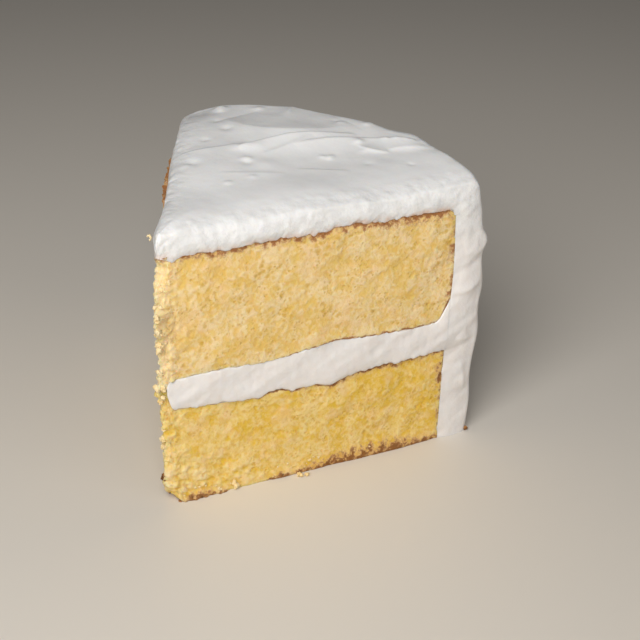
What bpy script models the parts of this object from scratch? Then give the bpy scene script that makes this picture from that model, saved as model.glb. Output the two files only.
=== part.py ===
"""A slice of a round two-layer sponge cake, filled and iced with soft meringue.

The slice points to -Y and its round side faces +Y. The right cut face is the one on the
+X side. Every layer starts as a box cut into a grid and is then bent to the wedge, in
three box directions: along (from the tip to the round side), across (from the left cut
face to the right one) and up (through the layer). All lengths are in metres.
"""

import math

import bmesh
import bpy
import numpy as np
from mathutils import Matrix

# The cut: a round cake from a 20 cm tin, seen in plan
SPONGE_RADIUS = 0.1000
WEDGE_ANGLE = math.radians(66.5)
TIP_RADIUS = 0.0015
FILLING_TIP_RADIUS = 0.0040
TIP_TO_CENTRE = 0.0571

# Heights of the layers above the surface that the slice stands on
LOWER_TOP = 0.0351
UPPER_BOTTOM = 0.0476
UPPER_TOP = 0.0892
ICING_TOP = 0.0987
GAP = 0.0003

# Sponge: a barrel side, a rounded lower corner and a broken tip
BARREL_BULGE = 0.0012
BARREL_HEIGHT = 0.066
BARREL_SPREAD = 0.018
TOP_CORNER = 0.0022
LOWER_CORNER_REACH = 0.0055
LOWER_CORNER_RISE = 0.0080
BROKEN_TIP = 0.0050
BROKEN_TIP_HEIGHT = 0.0050
TIP_CRUMB_REACH = 0.006
TIP_GAIN_REACH = 0.0035
TIP_CRUMB_GAIN = 4.0
TIP_CRUMB_SWELL = 0.00015
DEEPEST_PIT = 0.035

# Crumb that covers the tip of the filling: (where it starts to thin out, over what run)
TIP_COVER_HEIGHT = 0.0445
UPPER_TIP_COVER = (0.0016, 0.0022)
LOWER_TIP_COVER = (0.0026, 0.0030)
TIP_COVER_POWER = 0.6

# Icing: wall thickness and the soft edges
WALL = 0.0125
RIM_RADIUS = 0.0062
CUT_EDGE_RADIUS = 0.0022
EDGE_BAND = 0.0045
TIP_EDGE_RADIUS = 0.0030
EDGE_DROP = 0.0011
EDGE_DEPTH = 0.0120
CORNER_DROOP = 0.0034
CORNER_DROOP_REACH = 0.011
CUT_FACE_SWELL = 0.0007
LEFT_FACE_SWELL = 0.0007
LEFT_SWELL_REACH = 0.018
FILLING_SWELL = 0.0009
RIM_BULGE = 0.0024
RIM_BULGE_TURN = math.radians(20.0)
RIM_BULGE_SPREAD = math.radians(6.0)
RIM_BULGE_FADE = 6
RIM_LIFT_REACH = 0.007
RIDGE_SHARPNESS = 1.3
RIDGE_STEPS = 60

# Lumps are (height, size): the crumb of the cut faces, and soft icing
CRUMB_LUMPS = ((0.00030, 0.0085), (0.00025, 0.0048))
SOFT_LUMPS = ((0.0003, 0.0150), (0.0002, 0.0070))

# Factors that turn a cell's place into a fixed, random-looking number
HASH_A = 12.9898
HASH_B = 78.233
HASH_GAIN = 43758.5453

# Waves are (height, length, heading, phase)
TOP_WAVES = (
    (0.00035, 0.0460, 0.3, 1.1),
    (0.00025, 0.0310, 1.7, 0.2),
)
LAYER_WAVES = (
    (0.00030, 0.0420, 0.2, 0.6),
    (0.00022, 0.0270, 0.1, 3.0),
)

# Sags and swells of the layers at the right cut face: (distance out, reach, height)
LOWER_TOP_SWELLS = (
    (0.0020, 0.0140, 0.0014),
    (0.0380, 0.0040, 0.0010),
    (0.0450, 0.0040, -0.0020),
    (0.0570, 0.0055, -0.0024),
    (0.0960, 0.0060, 0.0009),
    (0.0340, 0.0070, -0.0008),
    (0.0780, 0.0170, 0.0006),
)
UPPER_BOTTOM_SWELLS = (
    (0.0590, 0.0100, 0.0012),
    (0.0390, 0.0090, -0.0004),
    (0.0150, 0.0110, -0.0006),
    (0.0810, 0.0060, 0.0006),
)
UPPER_TOP_SWELLS = (
    (0.0600, 0.0090, 0.0009),
    (0.0100, 0.0140, 0.0004),
)
SWELL_DEPTH = 0.040

# Places where the icing's left cut face is set back: (distance out, reach, height)
LEFT_FACE_DENTS = (
    (0.0340, 0.0180, -0.0014),
)

# Flake of the upper sponge's crust that stands out of the left cut face under the icing
FLAKE_START = 0.036
FLAKE_END = 0.087
FLAKE_REACH = 0.0027
FLAKE_THICKNESS = 0.0026
FLAKE_POWER = 0.4

# Ridges of the top icing, in plan: start, bend and end as (along, behind) the right cut
# face, then height, the reach of the front and the back slope, and where it is highest
TOP_RIDGES = (
    ((0.0500, 0.0760), (0.0560, 0.0450), (0.0880, 0.0530), 0.0030, 0.0070, 0.0240, 0.45),
    ((0.0420, 0.0480), (0.0600, 0.0505), (0.0860, 0.0450), 0.0018, 0.0062, 0.0025, 0.36),
    ((0.0620, 0.0425), (0.0850, 0.0460), (0.1040, 0.0280), 0.0012, 0.0060, 0.0025, 0.50),
    ((0.0900, 0.0292), (0.0965, 0.0285), (0.1050, 0.0240), 0.0007, 0.0025, 0.0045, 0.40),
    ((0.0980, 0.0460), (0.1010, 0.0420), (0.1060, 0.0310), 0.0013, 0.0026, 0.0040, 0.50),
)

# Lifts of the rim: (turn from the right cut face, spread, height)
RIM_LIFTS = (
    (math.radians(19.0), math.radians(3.2), 0.0017),
    (math.radians(10.0), math.radians(8.0), 0.0008),
    (math.radians(34.0), math.radians(8.0), 0.0010),
    (math.radians(26.0), math.radians(5.0), 0.0005),
)

# Small peaks of the top icing: (along, behind, reach, height)
TOP_PEAKS = (
    (0.0530, 0.0885, 0.0024, 0.0014),
    (0.0457, 0.0497, 0.0020, 0.0009),
    (0.0492, 0.0480, 0.0018, 0.0007),
    (0.0835, 0.0379, 0.0019, 0.0009),
    (0.0930, 0.0375, 0.0018, 0.0006),
    (0.0849, 0.0557, 0.0018, 0.0006),
)

# Spatula ridges round the icing wall: (height above the floor, climb, reach, height)
WALL_RIDGES = (
    (0.0940, 0.000, 0.0100, -0.0022),
    (0.0752, 0.008, 0.0036, 0.0022),
    (0.0600, -0.014, 0.0090, 0.0022),
    (0.0400, 0.020, 0.0100, 0.0020),
    (0.0860, 0.000, 0.0060, 0.0007),
    (0.0080, 0.000, 0.0160, 0.0009),
)

# Grid stations, as fractions of a box side. The sponges have two more near the tip, up to
# the one where the filling starts.
AT_FACE = 0.001
RUN = SPONGE_RADIUS - TIP_RADIUS
TIP_STATIONS = (0.0, (LOWER_TIP_COVER[0] - TIP_RADIUS) / RUN,
                (FILLING_TIP_RADIUS - TIP_RADIUS) / RUN)
OUTER_STATIONS = np.concatenate([np.linspace(0.0, 0.93, 23)[1:], (0.955, 0.975, 0.99, 1.0)])
SPONGE_ALONG = np.concatenate([TIP_STATIONS, OUTER_STATIONS])
FILLING_ALONG = np.concatenate([(0.0,), OUTER_STATIONS])
ACROSS = np.linspace(0.0, 1.0, 9)
UPPER_SPONGE_UP = np.concatenate([np.linspace(0.0, 0.9, 10), (0.955, 1.0)])
SHARP_ANGLE = math.radians(40)
ICING_LEGS = (30, 4, 20)
ICING_BAND = 0.12
ICING_ACROSS = np.concatenate([
    np.linspace(0.0, ICING_BAND, 4),
    np.linspace(ICING_BAND, 1.0 - ICING_BAND, 19)[1:-1],
    np.linspace(1.0 - ICING_BAND, 1.0, 4),
])


def waves(run_a, run_b, pattern):
    """Smooth unevenness: slanted waves over two directions, added up."""
    total = 0.0 * (run_a + run_b)
    for height, length, heading, phase in pattern:
        run = run_a * math.cos(heading) + run_b * math.sin(heading)
        total = total + height * np.sin(math.tau * run / length + phase)
    return total


def ease(share):
    """A share from 0 to 1, eased at both ends."""
    return share * share * (3.0 - 2.0 * share)


def lumps(run_a, run_b, pattern, seed):
    """Irregular unevenness over a plane: value noise of several sizes, added up."""
    total = 0.0 * (run_a + run_b)
    for height, size in pattern:
        cell_a, cell_b = np.floor(run_a / size), np.floor(run_b / size)
        mix_a, mix_b = ease(run_a / size - cell_a), ease(run_b / size - cell_b)
        corners = []
        for step_a, step_b in ((0, 0), (1, 0), (0, 1), (1, 1)):
            spin = HASH_A * (cell_a + step_a) + HASH_B * (cell_b + step_b) + seed
            spin = HASH_GAIN * np.sin(spin)
            corners.append(2.0 * (spin - np.floor(spin)) - 1.0)
        low = corners[0] * (1.0 - mix_a) + corners[1] * mix_a
        high = corners[2] * (1.0 - mix_a) + corners[3] * mix_a
        total = total + height * (low * (1.0 - mix_b) + high * mix_b)
    return total


def hump(distance, reach):
    """A bell curve: 1 at distance 0, and almost 0 at two reaches."""
    return np.exp(-(distance / reach) ** 2)


def humps(place, pattern):
    """Bell curves of (place, reach, height), added up."""
    total = 0.0 * place
    for middle, reach, height in pattern:
        total = total + height * hump(place - middle, reach)
    return total


def plan(radius, angle):
    """Plan point at a radius and at an angle from +Y towards +X."""
    return radius * np.sin(angle), radius * np.cos(angle)


def from_right_face(radius, angle):
    """Distance out along the right cut face, and distance behind it."""
    turn = WEDGE_ANGLE / 2 - angle
    return radius * np.cos(turn), radius * np.sin(turn)


def swells(radius, angle, pattern):
    """Sags and swells that start at the right cut face and die out behind it."""
    return humps(radius, pattern) * hump(from_right_face(radius, angle)[1], SWELL_DEPTH)


def towards_tip(radius, height, cover):
    """A layer's edge, led to the middle of the filling where crumb covers its tip."""
    start, fade = cover
    open_share = np.sin(math.pi / 2 * np.clip((radius - start) / fade, 0.0, 1.0))
    covered = 1.0 - open_share ** TIP_COVER_POWER
    return height + covered * (TIP_COVER_HEIGHT - height)


def lower_top(radius, angle):
    """Height where the lower sponge meets the filling."""
    level = (LOWER_TOP + swells(radius, angle, LOWER_TOP_SWELLS)
             + waves(radius, 0.02 * angle, LAYER_WAVES))
    return towards_tip(radius, level, LOWER_TIP_COVER)


def upper_bottom(radius, angle):
    """Height where the filling meets the upper sponge, whose outer corner is rounded."""
    past = np.clip((radius - SPONGE_RADIUS) / LOWER_CORNER_REACH + 1.0, 0.0, 1.0)
    level = (UPPER_BOTTOM + swells(radius, angle, UPPER_BOTTOM_SWELLS)
             + waves(radius + 0.03, 0.03 * angle, LAYER_WAVES)
             + LOWER_CORNER_RISE * past ** 2.5)
    return towards_tip(radius, level, UPPER_TIP_COVER)


def upper_top(radius, angle):
    """Height where the upper sponge meets the top icing, level at the round side."""
    inside = 1.0 - np.clip(radius / SPONGE_RADIUS, 0.0, 1.0) ** 8
    return UPPER_TOP + inside * (swells(radius, angle, UPPER_TOP_SWELLS)
                                 + waves(radius + 0.01, 0.02 * angle, LAYER_WAVES))


def barrel_radius(height):
    """Radius of the round side of the sponge, which bulges like a slight barrel."""
    return SPONGE_RADIUS + BARREL_BULGE * hump(height - BARREL_HEIGHT, BARREL_SPREAD)


def side_radius(height):
    """Radius of the round side with the upper sponge's worn top corner."""
    into_corner = np.clip((height - UPPER_TOP) / TOP_CORNER + 1.0, 0.0, 1.0)
    corner = TOP_CORNER * (1.0 - np.sqrt(1.0 - 0.9 * into_corner ** 2))
    return barrel_radius(height) - corner


def outward(radius, across):
    """Unit plan direction out of the nearer cut face, turning to -Y round the tip."""
    side = np.where(across > 0.5, 1.0, -1.0)
    half = WEDGE_ANGLE / 2
    at_face = np.clip(radius / TIP_CRUMB_REACH, 0.0, 1.0)
    heading = side * (math.pi - at_face * (math.pi / 2 - half))
    inside = (across > AT_FACE) & (across < 1.0 - AT_FACE)
    heading = np.where(inside, math.pi * side, heading)
    return np.sin(heading), np.cos(heading)


def cut_relief(radius, height, across, pattern, gain):
    """How far a cut face stands out: lumps, coarser at the tip."""
    seed = np.where(across > 0.5, 1.0, 2.0)
    near_tip = gain * hump(radius, TIP_GAIN_REACH)
    rough = lumps(radius, height, pattern, seed) * (1.0 + near_tip)
    rough = rough + TIP_CRUMB_SWELL * near_tip
    return np.maximum(rough, -DEEPEST_PIT * radius * WEDGE_ANGLE)


def at_cut(across):
    """Whether points lie on one of the two cut faces."""
    return (across < AT_FACE) | (across > 1.0 - AT_FACE)


def bend_layer(box, tip_radius, low, high, pattern, gain, broken, swell):
    """Bend unit-box points to a wedge layer between two height functions."""
    along, across, up = box.T
    radius = TIP_RADIUS + (SPONGE_RADIUS - TIP_RADIUS) * along
    radius = np.maximum(radius, tip_radius)
    angle = WEDGE_ANGLE * (across - 0.5)
    height = low(radius, angle) * (1.0 - up) + high(radius, angle) * up
    tip = hump(radius, TIP_CRUMB_REACH)
    radius = radius + (side_radius(height) - SPONGE_RADIUS) * along ** 8
    radius = radius + broken * BROKEN_TIP * np.exp(-height / BROKEN_TIP_HEIGHT) * tip
    x, y = plan(radius, angle)
    out_x, out_y = outward(radius, across)
    relief = cut_relief(radius, height, across, pattern, gain) + swell * np.sin(math.pi * up)
    relief = np.where(at_cut(across) | (along < AT_FACE), relief, 0.0)
    return np.column_stack([x + out_x * relief, y + out_y * relief, height])


def ridge(out, behind, start, bend, end, height, front, back, peak):
    """Height of a ridge along a bent path, with a front and a back slope."""
    nearest = np.full(out.shape, np.inf)
    level = np.zeros(out.shape)
    start, bend, end = (np.array(spot) for spot in (start, bend, end))
    for step in np.linspace(0.0, 1.0, RIDGE_STEPS):
        spot = start * (1 - step) ** 2 + bend * 2 * step * (1 - step) + end * step ** 2
        gone = np.hypot(out - spot[0], behind - spot[1])
        fade = math.sin(math.pi / 2 * min(step / peak, (1.0 - step) / (1.0 - peak))) ** 0.8
        reach = np.where(behind < spot[1], front, back) * (0.4 + 0.6 * fade)
        closer = gone < nearest
        shape = np.exp(-(gone / reach) ** RIDGE_SHARPNESS)
        level = np.where(closer, height * fade * shape, level)
        nearest = np.where(closer, gone, nearest)
    return level


def top_relief(radius, angle):
    """Ridges, peaks and slow waves of the spread top icing."""
    out, behind = from_right_face(radius, angle)
    total = waves(out, behind, TOP_WAVES)
    for shape in TOP_RIDGES:
        total = total + ridge(out, behind, *shape)
    for place, depth, reach, height in TOP_PEAKS:
        total = total + height * hump(np.hypot(out - place, behind - depth), reach)
    return total


def wall_relief(height, angle):
    """Spatula ridges that climb slowly round the icing wall."""
    total = lumps(SPONGE_RADIUS * angle, height, SOFT_LUMPS, 3.0)
    turn = WEDGE_ANGLE / 2 - angle
    for level, climb, reach, bulge in WALL_RIDGES:
        total = total + bulge * hump(height - level - climb * turn, reach)
    return total


def rounding(distance, radius):
    """How far a round edge falls away, at a distance in from the edge."""
    left = np.clip(1.0 - distance / radius, 0.0, 1.0)
    return radius * (1.0 - np.sqrt(1.0 - left ** 2))


def icing_angle(across, radius):
    """Angle of an across fraction, with grid rows held close to the cut faces."""
    half_width = radius * WEDGE_ANGLE / 2
    band = np.minimum(EDGE_BAND, 0.3 * half_width)
    share = np.minimum(across, 1.0 - across)
    inner = band + (share - ICING_BAND) / (0.5 - ICING_BAND) * (half_width - band)
    distance = np.where(share < ICING_BAND, share / ICING_BAND * band, inner)
    side = np.where(across > 0.5, 1.0, -1.0)
    return side * (WEDGE_ANGLE / 2 - distance / radius), distance


def icing_inner(leg, angle):
    """The icing's inside: under the top icing, over the corner and down the sponge."""
    swing = np.clip(leg - 1.0, 0.0, 1.0) * math.pi / 2
    corner = SPONGE_RADIUS - TOP_CORNER
    start = TIP_RADIUS + (corner - TIP_RADIUS) * np.clip(leg, 0.0, 1.0)
    top = upper_top(start, angle)
    down = np.clip(leg - 2.0, 0.0, 1.0)
    height = (top - TOP_CORNER * (1.0 - np.cos(swing))) * (1.0 - down)
    wall = barrel_radius(height) + GAP
    out = np.where(leg <= 1.0, start, corner + (wall - corner) * np.sin(swing))
    return out, height + GAP * np.cos(swing)


def icing_outer(leg, angle, distance):
    """The icing's outside: the top, the round rim and the wall, with soft cut edges."""
    swing = np.clip(leg - 1.0, 0.0, 1.0) * math.pi / 2
    rim = SPONGE_RADIUS + WALL - RIM_RADIUS
    start = TIP_RADIUS + (rim - TIP_RADIUS) * np.clip(leg, 0.0, 1.0)
    down = np.clip(leg - 2.0, 0.0, 1.0)
    corner = np.hypot(rim - start, SPONGE_RADIUS * (angle + WEDGE_ANGLE / 2))
    turn = WEDGE_ANGLE / 2 - angle
    top = ICING_TOP + top_relief(start, angle) - CORNER_DROOP * hump(corner, CORNER_DROOP_REACH)
    top = top + humps(turn, RIM_LIFTS) * hump(rim - start, RIM_LIFT_REACH)
    height = (top - RIM_RADIUS * (1.0 - np.cos(swing))) * (1.0 - down)
    swept = RIM_BULGE * hump(turn - RIM_BULGE_TURN, RIM_BULGE_SPREAD)
    swept = swept * (1.0 - down) ** RIM_BULGE_FADE
    bulge = (wall_relief(height, angle) + swept) * np.sin(swing)
    out = start + RIM_RADIUS * np.sin(swing) + bulge
    tip = rounding(start - TIP_RADIUS, TIP_EDGE_RADIUS) * (leg < 1.0)
    fall = np.maximum(rounding(distance, CUT_EDGE_RADIUS), tip)
    slope = EDGE_DROP * (1.0 - ease(np.clip(distance / EDGE_DEPTH, 0.0, 1.0)))
    return out - fall * np.sin(swing), height - (fall + slope) * np.cos(swing)


def bend_icing(box):
    """Bend unit-box points to the icing: over the top, round the rim, down the side."""
    legs = np.array(ICING_LEGS)
    cells, across, up = box.T
    leg = np.interp(cells * legs.sum(), np.concatenate([[0], legs.cumsum()]), range(4))
    rim = SPONGE_RADIUS + WALL
    radius = TIP_RADIUS + (rim - TIP_RADIUS) * np.clip(leg, 0.0, 1.0)
    angle, distance = icing_angle(across, radius)
    in_radius, in_height = icing_inner(leg, angle)
    out_radius, out_height = icing_outer(leg, angle, distance)
    out = in_radius * (1.0 - up) + out_radius * up
    height = in_height * (1.0 - up) + out_height * up
    x, y = plan(out, angle)
    out_x, out_y = outward(out, across)
    on_left = (across < 0.5) * (leg < 1.0)
    swell = CUT_FACE_SWELL + LEFT_FACE_SWELL * hump(out, LEFT_SWELL_REACH) * on_left
    relief = cut_relief(out, height, across, SOFT_LUMPS, 0.0) + swell * np.sin(math.pi * up)
    relief = relief + humps(out, LEFT_FACE_DENTS) * on_left * np.sqrt(up)
    relief = np.where(at_cut(across), relief, 0.0)
    return np.column_stack([x + out_x * relief, y + out_y * relief, height])


def icing_stations():
    """Fractions that cut the icing's long box side into equal cells."""
    return np.linspace(0.0, 1.0, sum(ICING_LEGS) + 1)


def gridded_box(stations):
    """A unit box, cut at the given fractions along each of its three directions."""
    box = bmesh.new()
    bmesh.ops.create_cube(box, size=1.0, matrix=Matrix.Translation((0.5, 0.5, 0.5)))
    for axis, fractions in enumerate(stations):
        normal = [0.0, 0.0, 0.0]
        normal[axis] = 1.0
        for fraction in fractions[1:-1]:
            spot = [fraction * part for part in normal]
            pieces = box.verts[:] + box.edges[:] + box.faces[:]
            bmesh.ops.bisect_plane(box, geom=pieces, plane_co=spot, plane_no=normal)
    return box


def plain_material(name, colour, roughness):
    """A Principled BSDF material for one piece."""
    material = bpy.data.materials.new(name)
    material.use_nodes = True
    shader = material.node_tree.nodes["Principled BSDF"]
    shader.inputs["Base Color"].default_value = (*colour, 1.0)
    shader.inputs["Roughness"].default_value = roughness
    shader.inputs["Metallic"].default_value = 0.0
    return material


def add_piece(name, stations, bend, material, group, parent):
    """Make one closed piece from a gridded box and a bending function."""
    box = gridded_box(stations)
    points = bend(np.array([vertex.co[:] for vertex in box.verts]))
    for vertex, point in zip(box.verts, points):
        vertex.co = point
    bmesh.ops.reverse_faces(box, faces=box.faces[:])
    mesh = bpy.data.meshes.new(name)
    box.to_mesh(mesh)
    box.free()
    mesh.materials.append(material)
    mesh.shade_smooth()
    mesh.set_sharp_from_angle(angle=SHARP_ANGLE)
    piece = bpy.data.objects.new(name, mesh)
    group.objects.link(piece)
    piece.parent = parent
    return piece


def lower_sponge(box):
    """The lower sponge stands on the surface and has a broken tip."""
    def floor(radius, angle):
        return 0.0 * radius

    def top(radius, angle):
        return lower_top(radius, angle) - GAP / 2
    return bend_layer(box, TIP_RADIUS, floor, top, CRUMB_LUMPS, TIP_CRUMB_GAIN, 1.0, 0.0)


def filling(box):
    """The filling lies between the sponges and runs through to the icing wall."""
    def low(radius, angle):
        return lower_top(radius, angle) + GAP / 2

    def high(radius, angle):
        return upper_bottom(radius, angle) - GAP / 2
    return bend_layer(box, FILLING_TIP_RADIUS, low, high, SOFT_LUMPS, 0.0, 0.0, FILLING_SWELL)


def crust_flake(box, points):
    """Shift of points that stands the crust out of the left cut face, under the icing."""
    radius = np.hypot(points[:, 0], points[:, 1])
    share = np.clip((radius - FLAKE_START) / (FLAKE_END - FLAKE_START), 0.0, 1.0)
    reach = FLAKE_REACH * np.sin(math.pi * share) ** FLAKE_POWER
    reach = reach * hump(UPPER_TOP - points[:, 2], FLAKE_THICKNESS) * (box[:, 1] < AT_FACE)
    half = WEDGE_ANGLE / 2
    return np.column_stack([-math.cos(half) * reach, -math.sin(half) * reach, 0.0 * reach])


def upper_sponge(box):
    """The upper sponge lies on the filling, and a flake of its crust stands out."""
    def low(radius, angle):
        return upper_bottom(radius, angle) + GAP / 2

    def high(radius, angle):
        return upper_top(radius, angle) - GAP / 2
    points = bend_layer(box, TIP_RADIUS, low, high, CRUMB_LUMPS, TIP_CRUMB_GAIN, 0.0, 0.0)
    return points + crust_flake(box, points)


def main():
    """Build the slice under one empty, which puts its middle over the origin."""
    for thing in list(bpy.data.objects):
        bpy.data.objects.remove(thing)
    group = bpy.data.collections.new("dominican_cake")
    bpy.context.scene.collection.children.link(group)
    slice_frame = bpy.data.objects.new("slice_frame", None)
    slice_frame.location = (0.0, -TIP_TO_CENTRE, 0.0)
    group.objects.link(slice_frame)

    crumb = plain_material("golden_sponge", (0.75, 0.52, 0.20), 0.9)
    meringue = plain_material("white_meringue", (0.86, 0.85, 0.83), 0.45)
    soft = plain_material("meringue_filling", (0.84, 0.82, 0.79), 0.5)
    pieces = (
        ("lower_sponge", (SPONGE_ALONG, ACROSS, np.linspace(0, 1, 10)), lower_sponge, crumb),
        ("filling", (FILLING_ALONG, ACROSS, np.linspace(0, 1, 5)), filling, soft),
        ("upper_sponge", (SPONGE_ALONG, ACROSS, UPPER_SPONGE_UP), upper_sponge, crumb),
        ("icing", (icing_stations(), ICING_ACROSS, np.linspace(0, 1, 4)), bend_icing, meringue),
    )
    for name, stations, bend, material in pieces:
        add_piece(name, stations, bend, material, group, slice_frame)
    bpy.context.view_layer.update()


main()
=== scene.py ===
import itertools
import math

import bmesh
import bpy
import numpy as np
from mathutils import Euler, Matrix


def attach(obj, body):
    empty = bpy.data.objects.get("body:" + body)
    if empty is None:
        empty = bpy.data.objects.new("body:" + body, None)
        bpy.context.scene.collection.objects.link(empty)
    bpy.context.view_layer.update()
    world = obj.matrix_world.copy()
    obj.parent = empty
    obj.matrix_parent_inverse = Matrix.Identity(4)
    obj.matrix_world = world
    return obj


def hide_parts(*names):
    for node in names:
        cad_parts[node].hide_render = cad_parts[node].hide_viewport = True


# Looks of a slice of layered sponge cake, filled and iced with soft meringue. The forms
# are worked out as in the CAD source: the tip of the slice points to -Y, the right cut
# face is the one on the +X side, and TIP_TO_CENTRE moves the finished meshes back. Each
# layer is the surface of a box, bent in three directions: along (tip to round side),
# across (left to right cut face) and up (through the layer). Lengths are in metres.

# The cut
SPONGE_RADIUS = 0.1000
WEDGE_ANGLE = math.radians(66.5)
TIP_RADIUS = 0.0015
FILLING_TIP_RADIUS = 0.0016
TIP_TO_CENTRE = 0.0571

# Heights of the layers
LOWER_TOP = 0.0351
UPPER_BOTTOM = 0.0476
UPPER_TOP = 0.0892
ICING_TOP = 0.0987

# Share of a box's width within which a point lies on its side
AT_FACE = 0.001

# Sponge: barrel side, rounded corners, and a tip that is broken at the foot, set back at
# TIP_NOTCH_HEIGHT and bulging at TIP_BULGE_HEIGHT
BARREL_BULGE = 0.0012
BARREL_HEIGHT = 0.066
BARREL_SPREAD = 0.018
TOP_CORNER = 0.0022
CORNER_FULLNESS = 0.9
LOWER_CORNER_REACH = 0.0055
LOWER_CORNER_RISE = 0.0080
LOWER_CORNER_POWER = 2.5
ROUND_SIDE_POWER = 8
BROKEN_TIP = 0.0050
BROKEN_TIP_HEIGHT = 0.0050
TIP_CRUMB_REACH = 0.006
TIP_GAIN_REACH = 0.0035
TIP_CRUMB_GAIN = 4.0
TIP_CRUMB_SWELL = 0.00015
DEEPEST_PIT = 0.035
TIP_NOTCH = 0.0026
TIP_NOTCH_HEIGHT = 0.0855
TIP_NOTCH_REACH = 0.0045
TIP_BULGE = 0.0021
TIP_BULGE_HEIGHT = 0.0660
TIP_BULGE_REACH = 0.0065
FLOOR_BULGE = 0.0010

# Crumb that covers the tip of the filling: (where it starts to thin out, over what run)
TIP_COVER_HEIGHT = 0.0445
UPPER_TIP_COVER = (0.0016, 0.0022)
LOWER_TIP_COVER = (0.0020, 0.0024)
TIP_COVER_POWER = 0.6
TIP_ROUND = 0.00066

# Filling: how far it runs into the wall and is tucked in there, how much it swells between
# its lips, and the thickness from which it has its full relief
FILLING_OVERLAP = 0.0020
FILLING_SWELL = 0.0009
FILLING_SWELL_GAIN = 2.2
FILLING_SWELL_POWERS = (0.4, 0.9)
FILLING_TUCK = 0.0004
FULL_THICKNESS = 0.005
FILLING_FROTH = 0.6
FUZZ_POWER = 8
LIP_PROUD = 0.00025
UPPER_LIP_PROUD = 0.00008

# Icing: wall thickness, soft edges, and how far it stands out
WALL = 0.0125
RIM_RADIUS = 0.0062
CUT_EDGE_REACH = 0.0070
CUT_EDGE_FALL = 0.0024
EDGE_BAND = 0.0045
EDGE_BAND_SHARE = 0.3
TIP_EDGE_RADIUS = 0.0030
EDGE_DROP = 0.0005
EDGE_DEPTH = 0.0120
CORNER_DROOP = 0.0034
CORNER_DROOP_REACH = 0.011
CUT_FACE_SWELL = 0.0007
LEFT_FACE_SWELL = 0.0007
LEFT_SWELL_REACH = 0.018
RIM_BULGE = 0.0024
RIM_BULGE_TURN = math.radians(20.0)
RIM_BULGE_SPREAD = math.radians(6.0)
RIM_BULGE_POWER = 6
RIM_LIFT_REACH = 0.007

# Ridges fade out and narrow towards their ends
RIDGE_SHARPNESS = 1.3
RIDGE_STEPS = 90
RIDGE_FADE = 0.8
RIDGE_END_REACH = 0.4

# Lips and a drip of the cut icing over the sponge
LIP = -0.0001
LIP_POWER = 6
LIP_GAP_SHARPNESS = 8.0
TIP_DRIP = 0.0016
TIP_DRIP_PLACE = 0.0045
TIP_DRIP_REACH = 0.0022
TIP_CLEAR_REACH = 0.004

# Where the knife smeared the cut icing, as (start, run) outwards and downwards, and how
# that calms its foam; the smears are stretched grains that climb with the distance out
SMEAR_OUT = (0.0935, 0.006)
SMEAR_DOWN = (0.0940, 0.030)
SMEAR_CALM = 0.4
SMEAR_SHINE = 0.5
SMEAR_STRETCH = 0.25
SMEAR_RISE = 0.6
SMEAR_SLOPE = 0.5
TIP_FOAM = 0.4
TIP_FOAM_REACH = 0.004
EDGE_FOAM = 1.3
EDGE_FOAM_REACH = 0.0060

# Crumb stains under the icing, strongest over the thick crust
STAIN_REACH = 0.0012
STAIN_LEAST = 0.1
STAIN_CRUST = 0.0025

# Lumps and grains are (height, size); MEAN_LUMP is the mean of a grain's size without sign
CRUMB_LUMPS = ((0.00030, 0.0085), (0.00025, 0.0048))
SOFT_LUMPS = ((0.0003, 0.0150), (0.0002, 0.0070))
CRUMB_GRAINS = ((0.00010, 0.0030), (0.00009, 0.0015), (0.00005, 0.0008))
FOAM_GRAINS = ((0.00014, 0.0038), (0.00015, 0.0018))
SMEAR_GRAINS = ((0.00030, 0.0060), (0.00020, 0.0028))
LIP_GRAINS = ((0.00030, 0.0042), (0.00060, 0.0017), (0.00050, 0.0010))
FUZZ_GRAINS = ((0.00030, 0.0012), (0.00015, 0.0007))
TIP_GRAINS = ((0.00110, 0.0034), (0.00130, 0.0018), (0.00075, 0.0010))
EDGE_GRAINS = ((0.00025, 0.0050), (0.00045, 0.0022), (0.00032, 0.0011))
CLUMP_GRAINS = ((0.00100, 0.0050), (0.00100, 0.0026), (0.00060, 0.0014))
TOP_GRAINS = ((0.00016, 0.0110), (0.00007, 0.0048))
MEAN_LUMP = 0.27

# Crumb: round pores as (cell, reach, seed), coarser near the tip and on the left cut face,
# and clumped at the foot. The pores are painted with shade, and the height of the relief and
# of the clumps is painted as light and shade: paler tops, with painted highlights on the
# clumps, and deeper hollows
COARSE_PITS = (0.0036, 0.0014, 41)
FINE_PITS = (0.0016, 0.0007, 51)
COARSE_PORE = 0.6
FINE_PORE = 0.5
LEAST_PIT = 0.35
PORE_DEPTH = 0.0003
PORE_POWER = 1.5
RELIEF_SHADING_SPAN = 0.00035
TIP_GRAIN_REACH = 0.005
TIP_ROUGH_REACH = 0.008
LEFT_ROUGHNESS = 0.8
CLUMP_REACH = 0.030
CLUMP_HEIGHT = 0.016
CLUMP_SHADING_SPAN = 0.0008
CLUMP_HIGHLIGHT = 0.0004
PALEST_SHADING = 1.3

# Seeds of the grains and of the wall's lumps
CRUMB_SEED = 61
TIP_SEED = 65
SMEAR_SEED = 71
FUZZ_SEED = 75
TOP_SEED = 81
CLUMP_SEED = 85
FOAM_SEED = 91
LIP_SEED = 95
ICING_TIP_SEED = 97
CRUMB_SHAPE_SEED = 101
FLAKE_SEED = 111
WALL_SEED = 3.0
SEED_STEP = 3

# Hash of the lumps, as in the solids, and of the grains: (shift, factor) of each round
HASH_A = 12.9898
HASH_B = 78.233
HASH_GAIN = 43758.5453
CELL_FACTORS = (73856093, 19349663, 83492791)
SEED_FACTOR = 40503
HASH_ROUNDS = ((15, 0x2C1B3C6D), (12, 0x297A2D39))
LAST_SHIFT = 15
BYTES = 0xFFFFFFFF

# Waves are (height, length, heading, phase)
TOP_WAVES = (
    (0.00035, 0.0460, 0.3, 1.1),
    (0.00025, 0.0310, 1.7, 0.2),
)
LAYER_WAVES = (
    (0.00030, 0.0420, 0.2, 0.6),
    (0.00022, 0.0270, 0.1, 3.0),
)

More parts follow.
